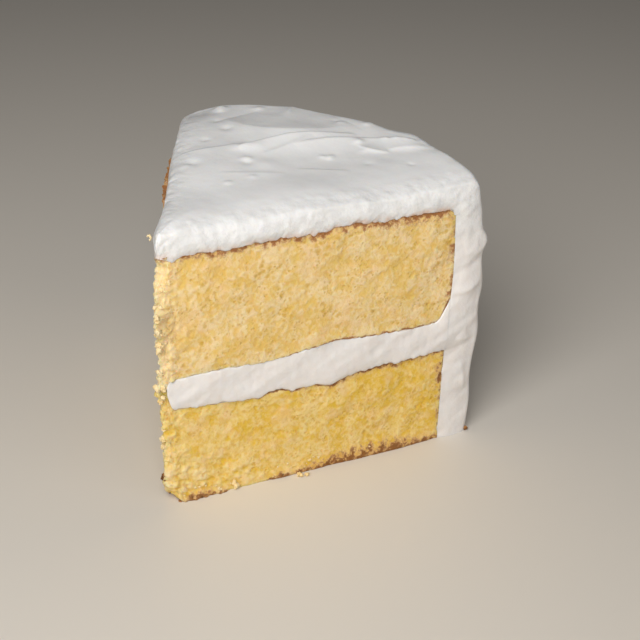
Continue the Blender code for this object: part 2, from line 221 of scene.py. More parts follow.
# Sags and swells of the layers at the right cut face: (distance out, reach, height)
LOWER_TOP_SWELLS = (
    (0.0020, 0.0140, 0.0014),
    (0.0380, 0.0040, 0.0010),
    (0.0450, 0.0040, -0.0020),
    (0.0570, 0.0055, -0.0024),
    (0.0960, 0.0060, 0.0009),
    (0.0340, 0.0070, -0.0008),
    (0.0780, 0.0170, 0.0006),
)
UPPER_BOTTOM_SWELLS = (
    (0.0590, 0.0100, 0.0012),
    (0.0390, 0.0090, -0.0004),
    (0.0150, 0.0110, -0.0006),
    (0.0810, 0.0060, 0.0006),
)
UPPER_TOP_SWELLS = (
    (0.0600, 0.0090, 0.0009),
    (0.0100, 0.0140, 0.0004),
)
SWELL_DEPTH = 0.040

# Edges of the layers: level, swells, where their waves start, how far these run for each
# radian round the slice, how ragged the edge is, and its seed
LOWER_TOP_EDGE = (LOWER_TOP, LOWER_TOP_SWELLS, 0.0, 0.02, 1.0, 11)
UPPER_BOTTOM_EDGE = (UPPER_BOTTOM, UPPER_BOTTOM_SWELLS, 0.03, 0.03, 0.6, 21)
UPPER_TOP_EDGE = (0.0, UPPER_TOP_SWELLS, 0.01, 0.02, 1.0, 31)

# Places where the icing's left cut face is set back: (distance out, reach, height)
LEFT_FACE_DENTS = ((0.0340, 0.0180, -0.0014),)

# Flake of the upper sponge's crust that stands out of the left cut face under the icing
FLAKE_START = 0.036
FLAKE_END = 0.087
FLAKE_REACH = 0.0027
FLAKE_THICKNESS = 0.0026
FLAKE_POWER = 0.4
FLAKE_BROWN = 0.0008
FLAKE_GRAINS = ((0.00060, 0.0035), (0.00045, 0.0015), (0.00020, 0.0008))

# Ridges of the top icing: start, bend and end as (along, behind) the right cut face,
# then height, the reach of the front and the back slope, and where along it is highest
TOP_RIDGES = (
    ((0.0500, 0.0760), (0.0560, 0.0450), (0.0880, 0.0530), 0.0030, 0.0100, 0.0240, 0.45),
    ((0.0205, 0.0530), (0.0330, 0.0522), (0.0490, 0.0505), 0.0006, 0.0035, 0.0008, 0.60),
    ((0.0440, 0.0478), (0.0600, 0.0505), (0.0860, 0.0450), 0.0018, 0.0062, 0.0011, 0.42),
    ((0.0500, 0.0412), (0.0600, 0.0420), (0.0700, 0.0460), 0.0005, 0.0050, 0.0012, 0.60),
    ((0.0620, 0.0425), (0.0850, 0.0460), (0.1040, 0.0280), 0.0012, 0.0060, 0.0009, 0.50),
    ((0.0900, 0.0292), (0.0965, 0.0285), (0.1050, 0.0240), 0.0007, 0.0016, 0.0045, 0.40),
    ((0.0825, 0.0365), (0.0835, 0.0300), (0.0900, 0.0275), 0.0007, 0.0010, 0.0030, 0.50),
    ((0.0560, 0.0275), (0.0640, 0.0235), (0.0720, 0.0200), 0.0004, 0.0040, 0.0009, 0.50),
    ((0.0320, 0.0330), (0.0420, 0.0280), (0.0520, 0.0250), 0.0003, 0.0040, 0.0012, 0.50),
    ((0.0980, 0.0460), (0.1010, 0.0420), (0.1060, 0.0310), 0.0013, 0.0026, 0.0040, 0.50),
)

# Lifts of the rim: (turn from the right cut face, spread, height)
RIM_LIFTS = (
    (math.radians(19.0), math.radians(3.2), 0.0017),
    (math.radians(10.0), math.radians(8.0), 0.0008),
    (math.radians(34.0), math.radians(8.0), 0.0010),
    (math.radians(26.0), math.radians(5.0), 0.0005),
)

# Folds of the wall where it was cut: (distance out, height) of start, bend and end,
# then height, the reach below and above, and where along it is highest
WALL_FOLDS = (
    ((0.1015, 0.0585), (0.1060, 0.0570), (0.1125, 0.0620), 0.0008, 0.0012, 0.0045, 0.50),
    ((0.1035, 0.0410), (0.1065, 0.0385), (0.1100, 0.0405), 0.0006, 0.0010, 0.0045, 0.50),
    ((0.1070, 0.0300), (0.1082, 0.0240), (0.1090, 0.0180), 0.0006, 0.0025, 0.0012, 0.50),
    ((0.1040, 0.0760), (0.1080, 0.0700), (0.1125, 0.0735), 0.0007, 0.0020, 0.0040, 0.50),
    ((0.1000, 0.0900), (0.1060, 0.0870), (0.1110, 0.0900), 0.0006, 0.0020, 0.0040, 0.50),
)

# Small bumps (height above 0) and dents of the top icing: (along, behind, reach, height)
SPOT_GAIN = 1.25
TOP_SPOTS = (
    (0.0463, 0.0480, 0.0030, 0.00055),
    (0.0505, 0.0462, 0.0024, 0.00030),
    (0.0440, 0.0395, 0.0016, 0.00040),
    (0.0835, 0.0379, 0.0017, 0.00060),
    (0.0700, 0.0321, 0.0012, 0.00040),
    (0.0849, 0.0557, 0.0016, 0.00040),
    (0.0473, 0.0668, 0.0020, -0.00039),
    (0.0470, 0.0756, 0.0016, -0.00022),
    (0.0522, 0.0859, 0.0015, 0.00033),
    (0.0530, 0.0885, 0.0024, 0.00095),
    (0.0648, 0.0804, 0.0018, 0.00039),
    (0.0373, 0.0604, 0.0016, -0.00028),
    (0.0270, 0.0434, 0.0024, -0.00039),
    (0.0434, 0.0371, 0.0018, -0.00033),
    (0.0322, 0.0251, 0.0014, 0.00028),
    (0.0407, 0.0259, 0.0014, 0.00022),
    (0.0492, 0.0332, 0.0040, 0.00039),
    (0.0245, 0.0429, 0.0020, 0.00028),
    (0.0440, 0.0490, 0.0028, 0.00033),
    (0.0846, 0.0568, 0.0018, -0.00033),
    (0.0926, 0.0506, 0.0014, 0.00033),
    (0.0959, 0.0354, 0.0013, 0.00028),
    (0.0930, 0.0375, 0.0016, 0.00040),
    (0.0825, 0.0319, 0.0014, 0.00022),
    (0.0683, 0.0335, 0.0012, 0.00028),
    (0.0712, 0.0329, 0.0011, 0.00028),
    (0.0798, 0.0226, 0.0016, -0.00022),
    (0.0918, 0.0160, 0.0012, -0.00022),
)

# Spatula ridges round the icing wall: (height above the floor, climb, reach, height)
WALL_RIDGES = (
    (0.0940, 0.000, 0.0100, -0.0022),
    (0.0752, 0.008, 0.0036, 0.0022),
    (0.0600, -0.014, 0.0090, 0.0022),
    (0.0400, 0.020, 0.0100, 0.0020),
    (0.0860, 0.000, 0.0060, 0.0007),
    (0.0080, 0.000, 0.0160, 0.0009),
)

# Thickness of the brown crust at the layers' edges: (distance out, reach, thickness),
# and how much of it shows at the round side: (height, reach, amount). The bands under the
# filling and at the floor are crust and painted shade: the shade under the filling's lip and
# the shadow at the foot
UPPER_TOP_CRUST = ((0.0900, 0.0260, 0.0011), (0.0500, 0.0900, 0.0016))
UPPER_BOTTOM_CRUST = ((0.0800, 0.0300, 0.0003), (0.0500, 0.0600, 0.0004))
LOWER_TOP_CRUST_AND_SHADE = ((0.0850, 0.0300, 0.0011), (0.0450, 0.0500, 0.0005))
FLOOR_CRUST_AND_SHADOW = ((0.0720, 0.0240, 0.0042), (0.0405, 0.0030, 0.0013), (0.0110, 0.0075, 0.0024))
SIDE_CRUST = ((0.0735, 0.0045, 0.75), (0.0590, 0.0060, 0.65), (0.0270, 0.0110, 0.75))
SIDE_CRUST_DEPTH = 0.0026
THIN_CRUST = 0.0006
LEAST_CRUST = 0.0001
CRUST_GAP = 1.5
BAKED_HEIGHT = 0.0035
BAKED_CRUST = 0.0036

# Edges of the crumb: its relief fades out there, and a little icing sticks to it
SEAM_DEPTH = 0.0014
TIP_SEAM = 0.004
FROST_REACH = 0.0006
TOP_FROST_REACH = 0.6 * FROST_REACH
PALE_TIP_REACH = 0.0042

# Colours, as linear light: a sponge has light and deep crumb, which also carry its painted light
# and shade, a painted shade for its pores and holes, and crust, and what has two colours is
# mottled between them
UPPER_CRUMB = ((0.88, 0.69, 0.39, 1.0), (0.80, 0.54, 0.15, 1.0),
               (0.66, 0.40, 0.06, 1.0), (0.35, 0.145, 0.05, 1.0))
LOWER_CRUMB = ((0.87, 0.66, 0.28, 1.0), (0.77, 0.49, 0.055, 1.0),
               (0.70, 0.41, 0.06, 1.0), (0.25, 0.10, 0.03, 1.0))
LOOSE_CRUMB = ((0.90, 0.73, 0.44, 1.0), (0.85, 0.62, 0.29, 1.0))
CRUST_BIT = ((0.42, 0.20, 0.07, 1.0), (0.10, 0.04, 0.015, 1.0))
SPREAD = ((0.91, 0.905, 0.897, 1.0), (0.88, 0.875, 0.867, 1.0))
CUT = ((0.77, 0.765, 0.755, 1.0), (0.86, 0.857, 0.85, 1.0))
PALE_STONE = (0.70, 0.65, 0.58, 1.0)
PINK_CRUMB = (0.88, 0.62, 0.36, 1.0)
PALE_CRUMB_AND_HIGHLIGHT = (0.93, 0.78, 0.51, 1.0)
FROSTED = (0.88, 0.79, 0.66, 1.0)
BAKED = (0.70, 0.40, 0.09, 1.0)
PALE_CRUST = (0.58, 0.33, 0.16, 1.0)
SMEARED = (0.81, 0.765, 0.73, 1.0)
BLUSH = (0.72, 0.47, 0.34, 1.0)
PINK_SHARE = 0.35
PALE_SHARE = 0.5
BAKED_SHARE = 0.55
FROST_SHARE = 0.4
BLUSH_SHARE = 0.7

# How much the painted light and shade kept on the points counts, as (gain, offset), and ranges
# of a value as (from, to), then what they become, if that isn't 0 to 1
RELIEF_SHADING_WEIGHT = (0.5, 0.25)
TONE_AND_SHADING_RANGE = (-0.10, 1.10)
PORE_SHADE_RANGE = (0.25, 1.0, 0.0, 0.35)
DEEP_CRUST = (0.0, 0.9)
ANY_CRUST = (-0.50, 0.60, 0.0, 0.95)
BIT_GLOSS = (0.0, 1.0, 0.75, 0.92)

# Mottling: size of its lumps, detail and roughness, then such a range of it
NOISE_PITCH = 0.5
BROAD_TONE = (0.0080, 2.0, 0.5, 0.34, 0.66, -0.20, 0.20)
MIDDLE_TONE = (0.0022, 2.0, 0.5, 0.34, 0.66, -0.20, 0.20)
FINE_TONE = (0.0008, 3.0, 0.6, 0.34, 0.66, -0.30, 0.30)
PINK_PATCHES = (0.0031, 2.0, 0.5, 0.50, 0.68, 0.0, PINK_SHARE)
FROST_PATCHES = (0.0010, 3.0, 0.6, 0.36, 0.60)
CRUST_PATCHES = (0.0011, 4.0, 0.65, 0.34, 0.66, -0.70, 0.60)
CRUMB_GLOSS = (0.0020, 2.0, 0.5, 0.3, 0.7, 0.80, 0.95)
BIT_PATCHES = (0.0010, 3.0, 0.6, 0.36, 0.64)
SPREAD_PATCHES = (0.0050, 3.0, 0.5, 0.35, 0.65)
CUT_PATCHES = (0.0026, 3.0, 0.6, 0.36, 0.64)
SMEAR_PATCHES = (0.0034, 3.0, 0.6, 0.36, 0.64, 0.65, 1.0)
BLUSH_PATCHES = (0.0018, 2.0, 0.5, 0.35, 0.6)
SATIN_GLOSS = (0.0035, 2.0, 0.5, 0.3, 0.7, 0.30, 0.44)
SOFT_WAVES = (0.0028, 2.0, 0.5)
FOAM_BUBBLES = (0.0011, 3.0, 0.6)
FOAM_ROUGHER = 0.04

# Small holes of the crumb, painted dark as the shade in them: (size, how dark), how uneven they
# are, how sharp, and the patches that have them
HOLE_SHADES = ((0.0024, 0.75), (0.0012, 0.60))
HOLE_JITTER = 0.8
HOLE_EDGE = (0.12, 0.48)
HOLE_PATCHES = (2.0, 0.5, 0.47, 0.62)
HOLE_PATCH_SIZE = 1.7

# Light under the surface: its share, its reach in red, green and blue, and the scale
CRUMB_SCATTER = (0.60, (1.0, 0.65, 0.35), 0.0022)
BIT_SCATTER = ((1.0, 0.8, 0.6), 0.0011)
LOOSE_SCATTER = 0.2
MERINGUE_SCATTER = (0.40, (1.0, 0.85, 0.70), 0.0015)
CRUMB_SHINE = 0.2
MERINGUE_SHINE = 0.5

# Bumps: (distance, strength)
CRUMB_BUMP = (0.00040, 0.45)
BIT_BUMP = (0.0002, 0.4)
SOFT_BUMP = (0.0006, 0.25)
FOAM_BUMP = (0.0009, 0.34)

# Clumps of crumbs: (height above the floor, distance out, how far they stand off the cut
# face, size, cut face: -1 left, 1 right)
PALE_CLUMPS = (
    (0.0738, 0.0000, 0.000, 0.0012, -1.0), (0.0712, -0.0016, 0.000, 0.0013, -1.0),
    (0.0660, -0.0014, 0.000, 0.0013, -1.0), (0.0605, -0.0008, 0.000, 0.0014, -1.0),
    (0.0505, 0.0008, 0.000, 0.0011, -1.0), (0.0455, 0.0004, 0.000, 0.0014, -1.0),
    (0.0418, -0.0002, 0.000, 0.0012, -1.0), (0.0255, 0.0008, 0.000, 0.0012, -1.0),
    (0.0225, 0.0012, 0.000, 0.0011, -1.0), (0.0968, 0.0006, 0.0012, 0.0008, -1.0),
    (0.0018, 0.0115, -0.0003, 0.0011, 1.0), (0.0014, 0.0185, -0.0003, 0.0010, 1.0),
    (0.0016, 0.0240, -0.0003, 0.0011, 1.0), (0.0008, 0.0460, 0.0024, 0.0010, 1.0),
    (0.0008, 0.0482, 0.0030, 0.0007, 1.0),
)
BROWN_CLUMPS = (
    (0.0006, 0.0055, -0.0012, 0.0009, 1.0), (0.0004, 0.0085, -0.0006, 0.0009, 1.0),
    (0.0005, 0.0120, -0.0004, 0.0009, 1.0), (0.0006, 0.0160, -0.0002, 0.0008, 1.0),
    (0.0006, 0.0405, 0.0002, 0.0008, 1.0), (0.0100, 0.0016, 0.0006, 0.0009, -1.0),
    (0.0120, 0.0010, 0.0005, 0.0008, -1.0),
    (0.0010, 0.1120, 0.0000, 0.0006, 1.0),
)

# Crumbs of a clump, the shape of each, how deep scattered ones sit, and the draws
CLUSTER = 5
CLUSTER_SPREAD = 0.8
CLUSTER_SIZE = 0.45
CRUMB_SHAPE = ((0.35, 0.80), (0.35, 0.38), (0.20, 0.19))
CRUMB_BODY = 0.85
CRUMB_SHIFT = 7.3
CRUMB_STRETCH = (0.6, 0.7)
SHOWER_DEPTH = 0.35
PALE_DRAW = 5
BROWN_DRAW = 6
STRETCH_DRAW = 9

# Scattered crumbs: count, distances out, heights, radii, cut face
CRUMB_SHOWERS = (
    (60, (0.0050, 0.0950), 0.002, 0.087, 0.0003, 0.0008, -1.0),
    (14, (-0.0002, 0.0030), 0.006, 0.087, 0.0005, 0.0010, -1.0),
    (20, (0.0010, 0.0040), 0.008, 0.087, 0.0003, 0.0006, 1.0),
    (10, (0.0040, 0.0200), 0.001, 0.006, 0.0005, 0.0009, 1.0),
    (30, (0.0060, 0.0980), 0.001, 0.005, 0.0003, 0.0007, 1.0),
    (12, (0.0440, 0.0500), 0.000, 0.002, 0.0004, 0.0008, 1.0),
)

# Cells of the boxes, wider where a side is hidden; the icing's run along its top, round
# its rim and down its wall, and a band of them lies close to its cut faces
SHARP_ANGLE = math.radians(80.0)
SPONGE_ALONG = 300
UPPER_UP = 120
LOWER_UP = 100
FILLING_UP = 30
SPONGE_ACROSS = 10
HIDDEN_STEP = 10
ICING_LEGS = (280, 14, 128)
ICING_ACROSS = 200
ICING_UP = 22
ICING_BAND = 0.06
ICING_INSIDE_STEP = 8
ICING_FOOT_STEP = 2
FAN_STEPS = ((32, 8), (64, 4), (128, 2))

# Room: a light is (azimuth, elevation, distance, size, power, colour)
KEY_LIGHT = (-74.0, 42.0, 0.68, 0.55, 4.75, (1.0, 0.99, 0.975))
FILL_LIGHT = (-10.0, 30.0, 1.0, 0.8, 1.2, (1.0, 0.95, 0.90))
LIT_HEIGHT = 0.05
ROOM_LIGHT = 0.06
FLOOR_CORNERS = ((-4, -3, 0), (4, -3, 0), (4, 6, 0), (-4, 6, 0))
FLOOR_ROUGHNESS = 0.55

# Camera, as in the photograph
CAMERA_PLACE = (0.21274, -0.30985, 0.26078)
CAMERA_TURNS = (59.878, -1.304, 32.444)
CAMERA_LENS = 71.51
CAMERA_SENSOR = 36.0
CAMERA_CLIP = 0.01


def waves(run_a, run_b, pattern):
    """Smooth unevenness: slanted waves over two directions, added up."""
    total = 0.0 * (run_a + run_b)
    for height, length, heading, phase in pattern:
        run = run_a * math.cos(heading) + run_b * math.sin(heading)
        total = total + height * np.sin(math.tau * run / length + phase)
    return total


def held(value):
    """A value held between 0 and 1."""
    return np.clip(value, 0.0, 1.0)


def ease(share):
    """A share from 0 to 1, eased at both ends."""
    return share * share * (3.0 - 2.0 * share)


def lumps(run_a, run_b, pattern, seed):
    """Irregular unevenness over a plane, the same as in the solids."""
    total = 0.0 * (run_a + run_b)
    for height, size in pattern:
        cell_a, cell_b = np.floor(run_a / size), np.floor(run_b / size)
        mix_a, mix_b = ease(run_a / size - cell_a), ease(run_b / size - cell_b)
        levels = []
        for step_a, step_b in ((0, 0), (1, 0), (0, 1), (1, 1)):
            spin = HASH_A * (cell_a + step_a) + HASH_B * (cell_b + step_b) + seed
            spin = HASH_GAIN * np.sin(spin)
            levels.append(2.0 * (spin - np.floor(spin)) - 1.0)
        low = levels[0] * (1.0 - mix_a) + levels[1] * mix_a
        high = levels[2] * (1.0 - mix_a) + levels[3] * mix_a
        total = total + height * (low * (1.0 - mix_b) + high * mix_b)
    return total


def hashed(cells, seed):
    """A fixed random number from 0 to 1 for every cell of space."""
    spin = np.bitwise_xor.reduce(cells * CELL_FACTORS, axis=1)
    spin = (spin ^ seed * SEED_FACTOR) & BYTES
    for shift, factor in HASH_ROUNDS:
        spin = ((spin ^ spin >> shift) * factor) & BYTES
    return (spin ^ spin >> LAST_SHIFT) / BYTES


def grains(points, pattern, seed):
    """Irregular unevenness through space, of several sizes, added up."""
    total = np.zeros(len(points))
    for height, size in pattern:
        cells = np.floor(points / size).astype(np.int64)
        mix = ease(points / size - cells)
        for step in itertools.product((0, 1), repeat=3):
            weight = np.prod(np.where(step, mix, 1.0 - mix), axis=1)
            total = total + height * weight * (2.0 * hashed(cells + step, seed) - 1.0)
        seed += 1
    return total


def crumble(points, pattern, seed):
    """Rounded lumps with sharp creases between them, of several sizes, added up."""
    total = np.zeros(len(points))
    for height, size in pattern:
        total = total + np.abs(grains(points, ((height, size),), seed)) - MEAN_LUMP * height
        seed += SEED_STEP
    return total


def pits(points, size, reach, seed):
    """Depth of round pits, one to a cell of space: 0 between them, 1 in their middle."""
    cells = np.floor(points / size).astype(np.int64)
    deepest = np.zeros(len(points))
    for step in itertools.product((-1, 0, 1), repeat=3):
        cell = cells + step
        spot = np.column_stack([hashed(cell, seed + axis) for axis in range(3)])
        gone = np.linalg.norm(points - (cell + spot) * size, axis=1)
        radius = reach * (LEAST_PIT + (1.0 - LEAST_PIT) * hashed(cell, seed + 3))
        deepest = np.maximum(deepest, 1.0 - (gone / radius) ** 2)
    return deepest


def hump(distance, reach):
    """A bell curve: 1 at distance 0, and almost 0 at two reaches."""
    return np.exp(-(distance / reach) ** 2)


def humps(place, pattern):
    """Bell curves of (place, reach, height), added up."""
    total = 0.0 * place
    for middle, reach, height in pattern:
        total = total + height * hump(place - middle, reach)
    return total


def plan(radius, angle):
    """Plan point at a radius and at an angle from +Y towards +X."""
    return radius * np.sin(angle), radius * np.cos(angle)


def from_right_face(radius, angle):
    """Distance out along the right cut face, and distance behind it."""
    turn = WEDGE_ANGLE / 2 - angle
    return radius * np.cos(turn), radius * np.sin(turn)


def swells(radius, angle, pattern):
    """Sags and swells that start at the right cut face and die out behind it."""
    return humps(radius, pattern) * hump(from_right_face(radius, angle)[1], SWELL_DEPTH)


def ragged(radius, angle, seed):
    """Small steps of a layer's edge at the cut faces."""
    points = np.column_stack([radius, radius * angle, 0.0 * radius])
    return grains(points, EDGE_GRAINS, seed)


def towards_tip(radius, height, cover):
    """A layer's edge, led to the middle of the filling where crumb covers its tip."""
    start, fade = cover
    clear = np.sin(math.pi / 2 * held((radius - start) / fade)) ** TIP_COVER_POWER
    return height + (1.0 - clear) * (TIP_COVER_HEIGHT - height)


def edge_height(radius, angle, edge):
    """Height of a layer's edge: level, swells, waves and small ragged steps."""
    level, pattern, start, run, roughness, seed = edge
    return (level + swells(radius, angle, pattern)
            + waves(radius + start, run * angle, LAYER_WAVES)
            + roughness * ragged(radius, angle, seed))


def lower_top(radius, angle):
    """Height where the lower sponge meets the filling."""
    return towards_tip(radius, edge_height(radius, angle, LOWER_TOP_EDGE), LOWER_TIP_COVER)


def upper_bottom(radius, angle):
    """Height where the filling meets the upper sponge, whose outer corner is rounded."""
    past = held((radius - SPONGE_RADIUS) / LOWER_CORNER_REACH + 1.0)
    level = edge_height(radius, angle, UPPER_BOTTOM_EDGE)
    level = level + LOWER_CORNER_RISE * past ** LOWER_CORNER_POWER
    return towards_tip(radius, level, UPPER_TIP_COVER)


def upper_top(radius, angle):
    """Height where the upper sponge meets the top icing, level at the round side."""
    inside = 1.0 - held(radius / SPONGE_RADIUS) ** ROUND_SIDE_POWER
    return UPPER_TOP + inside * edge_height(radius, angle, UPPER_TOP_EDGE)


def barrel_radius(height):
    """Radius of the round side of the sponge, which bulges like a slight barrel."""
    return SPONGE_RADIUS + BARREL_BULGE * hump(height - BARREL_HEIGHT, BARREL_SPREAD)


def side_radius(height):
    """Radius of the round side with the upper sponge's worn top corner."""
    into_corner = held((height - UPPER_TOP) / TOP_CORNER + 1.0)
    corner = TOP_CORNER * (1.0 - np.sqrt(1.0 - CORNER_FULLNESS * into_corner ** 2))
    return barrel_radius(height) - corner


def at_cut(across):
    """Whether points lie on one of the two cut faces."""
    return (across < AT_FACE) | (across > 1.0 - AT_FACE)


def outward(radius, across):
    """Unit plan direction out of the nearer cut face, turning to -Y round the tip."""
    side = np.where(across > 0.5, 1.0, -1.0)
    at_face = held(radius / TIP_CRUMB_REACH)
    heading = side * (math.pi - at_face * (math.pi / 2 - WEDGE_ANGLE / 2))
    heading = np.where(at_cut(across), heading, math.pi * side)
    return np.sin(heading), np.cos(heading)


def pushed(points, out, relief):
    """Points moved by a relief along a plan direction."""
    return points + np.column_stack([out[0] * relief, out[1] * relief, 0.0 * relief])


def tip_round(along, across):
    """How far the blunt end of the tip stands out in its middle."""
    return TIP_ROUND * (1.0 - (2.0 * across - 1.0) ** 2) * (along < AT_FACE)


def cut_relief(radius, height, across, pattern, gain):
    """How far a cut face stands out: lumps, coarser at the tip."""
    seed = np.where(across > 0.5, 1.0, 2.0)
    near_tip = gain * hump(radius, TIP_GAIN_REACH)
    rough = lumps(radius, height, pattern, seed) * (1.0 + near_tip)
    rough = rough + TIP_CRUMB_SWELL * near_tip
    return np.maximum(rough, -DEEPEST_PIT * radius * WEDGE_ANGLE)


def bend_layer(box, ends, low, high, pattern, gain, broken):
    """Places, cut-face directions and relief of a wedge layer between two heights."""
    along, across, up = box.T
    radius = ends[0] + (ends[1] - ends[0]) * along
    angle = WEDGE_ANGLE * (across - 0.5)
    height = low(radius, angle) * (1.0 - up) + high(radius, angle) * up
    tip = hump(radius, TIP_CRUMB_REACH)
    radius = radius + (side_radius(height) - SPONGE_RADIUS) * along ** ROUND_SIDE_POWER
    radius = radius + broken * BROKEN_TIP * np.exp(-height / BROKEN_TIP_HEIGHT) * tip
    notch = TIP_NOTCH * hump(height - TIP_NOTCH_HEIGHT, TIP_NOTCH_REACH)
    radius = radius + notch * tip * (gain > 0.0)
    relief = cut_relief(radius, height, across, pattern, gain) + tip_round(along, across)
    stuck = TIP_BULGE * hump(height - TIP_BULGE_HEIGHT, TIP_BULGE_REACH)
    relief = relief + stuck * hump(radius, 0.5 * TIP_CRUMB_REACH) * (across < 1.0 - AT_FACE)
    shown = at_cut(across) | (along < AT_FACE)
    points = np.column_stack([*plan(radius, angle), height])
    return radius, angle, height, points, outward(radius, across), relief, shown


def crumb_face(points, radius):
    """Fine crumb of a cut sponge face: how far it stands out, its pores, and painted light and
    shade that make raised crumb paler and hollows deeper.
    """
    pore = COARSE_PORE * pits(points, *COARSE_PITS) + FINE_PORE * pits(points, *FINE_PITS)
    pore = held(pore)
    rough = grains(points, CRUMB_GRAINS, CRUMB_SEED)
    # Painted light and shade: the higher the crumb's relief, the paler it is painted, and hollows
    # are painted deeper.
    tone = held(0.5 + rough / RELIEF_SHADING_SPAN)
    fuzz = crumble(points, TIP_GRAINS, TIP_SEED) * hump(radius, TIP_GRAIN_REACH)
    rough = rough * (1.0 + hump(radius, TIP_ROUGH_REACH))
    rough = rough * (1.0 + LEFT_ROUGHNESS * (points[:, 0] < 0.0))
    clump = crumble(points, CLUMP_GRAINS, CLUMP_SEED)
    clump = clump * hump(radius, CLUMP_REACH) * hump(points[:, 2], CLUMP_HEIGHT)
    # Painted light and shade of the clumps: their tops are painted paler, with painted
    # highlights, and the hollows between them deeper.
    tone = np.clip(tone + clump / CLUMP_SHADING_SPAN, 0.0, PALEST_SHADING)
    pale = held(clump / CLUMP_HIGHLIGHT)
    return rough + fuzz + clump - PORE_DEPTH * pore ** PORE_POWER, pore, tone, pale


def crust_amount(radius, angle, height, crusts):
    """Where the crust shows: 1 at a layer's edge, 0 where it ends, -1 well inside."""
    crust = np.full(len(radius), -1.0)
    for edge, pattern, sign in crusts:
        inside = sign * (edge(radius, angle) - height)
        thick = np.maximum(humps(radius, pattern), 0.0)
        missing = CRUST_GAP * (1.0 - held(thick / THIN_CRUST))
        crust = np.maximum(crust, 1.0 - inside / (LEAST_CRUST + thick) - missing)
    beside = (side_radius(height) - radius) / SIDE_CRUST_DEPTH
    crust = np.maximum(crust, humps(height, SIDE_CRUST) - beside)
    return np.clip(crust, -1.0, 1.0)


def sponge_layer(low, high, broken, crusts):
    """Bending function of a sponge layer with its crumb and its crusts."""
    def bend(box):
        radius, angle, height, points, out, relief, shown = bend_layer(
            box, (TIP_RADIUS, SPONGE_RADIUS), low, high, CRUMB_LUMPS, TIP_CRUMB_GAIN, broken)
        fine, pore, tone, pale = crumb_face(points, radius)
        seam = np.minimum(high(radius, angle) - height, side_radius(height) - radius)
        frost = hump(high(radius, angle) - height, TOP_FROST_REACH)
        if low is not floor_level:
            seam = np.minimum(seam, height - low(radius, angle))
            frost = np.maximum(frost, hump(height - low(radius, angle), FROST_REACH))
        seam = seam + TIP_SEAM * hump(radius, TIP_GRAIN_REACH)
        flake = crust_flake(box, points, radius)
        baked = hump(height, BAKED_HEIGHT)
        baked = baked * held(humps(radius, FLOOR_CRUST_AND_SHADOW) / BAKED_CRUST)
        relief = (relief + fine) * held(seam / SEAM_DEPTH) + flake
        relief = np.where(shown, relief + FLOOR_BULGE * baked * (box[:, 1] > 0.5), 0.0)
        crust = crust_amount(radius, angle, height, crusts)
        crust = np.maximum(crust, np.clip(flake / FLAKE_BROWN - 1.0, -1.0, 1.0))
        # Pale crumb at the upper sponge's tip, and the painted highlights on the tops of the
        # clumps.
        pale = np.maximum(hump(radius, PALE_TIP_REACH) * (1.0 - broken), pale)
        return pushed(points, out, relief), {
            "crust": crust, "pore": np.where(shown, pore, 0.0), "tone": tone, "baked": baked,
            "frost": frost * (radius > LOWER_TIP_COVER[0]), "pale": pale}
    return bend


def crust_flake(box, points, radius):
    """How far the crust stands out of the left cut face, under the icing."""
    share = held((radius - FLAKE_START) / (FLAKE_END - FLAKE_START))
    reach = FLAKE_REACH * np.sin(math.pi * share) ** FLAKE_POWER
    near = hump(UPPER_TOP - points[:, 2], FLAKE_THICKNESS) * (box[:, 1] < AT_FACE)
    rough = grains(points, FLAKE_GRAINS, FLAKE_SEED) * held(reach / FLAKE_REACH)
    return near * (reach + rough)


def floor_level(radius, angle):
    """The surface that the slice stands on."""
    return 0.0 * radius


def smears(points):
    """Soft oblique folds left by the knife in the cut meringue."""
    out, behind = from_right_face(*polar(points))
    height = points[:, 2]
    lean = [SMEAR_STRETCH * (out + SMEAR_RISE * height), height - SMEAR_SLOPE * out, behind]
    return grains(np.column_stack(lean), SMEAR_GRAINS, SMEAR_SEED)


def polar(points):
    """Radius and angle of points."""
    return np.hypot(points[:, 0], points[:, 1]), np.arctan2(points[:, 0], points[:, 1])


def filling_share(height, angle):
    """Place of a height in the filling at its outer end: 0 at its bottom, 1 at its top."""
    edge = np.full(len(height), SPONGE_RADIUS)
    low, high = lower_top(edge, angle), upper_bottom(edge, angle)
    return held((height - low) / (high - low))


def filling_swell(up):
    """How far the filling stands out, from its sharp lower edge to its soft upper edge."""
    lip = LIP_PROUD * (1.0 - up) + UPPER_LIP_PROUD * up
    rise, fall = FILLING_SWELL_POWERS
    return lip + FILLING_SWELL * FILLING_SWELL_GAIN * up ** rise * (1.0 - up) ** fall


def bend_filling(box):
    """The filling, soft, lipped and standing a little proud of the sponge."""
    radius, angle, height, points, out, relief, shown = bend_layer(
        box, (FILLING_TIP_RADIUS, SPONGE_RADIUS + FILLING_OVERLAP), lower_top, upper_bottom,
        SOFT_LUMPS, 0.0, 0.0)
    up = box[:, 2]
    tuck = FILLING_TUCK * held((radius - SPONGE_RADIUS) / FILLING_OVERLAP)
    thick = upper_bottom(radius, angle) - lower_top(radius, angle)
    full = np.sqrt(held(thick / FULL_THICKNESS))
    froth = FILLING_FROTH * grains(points, FOAM_GRAINS, FOAM_SEED)
    relief = relief + filling_swell(up) - tuck + smears(points) + wall_folds(radius, height)
    relief = np.where(shown, (relief + froth) * full, 0.0)
    fuzz = grains(points, FUZZ_GRAINS, FUZZ_SEED) * up ** FUZZ_POWER
    points[:, 2] += np.where(shown, fuzz, 0.0)
    none = 0.0 * radius
    return pushed(points, out, relief), {"foam": none + 0.5, "stain": none, "smear": none + 1.0}


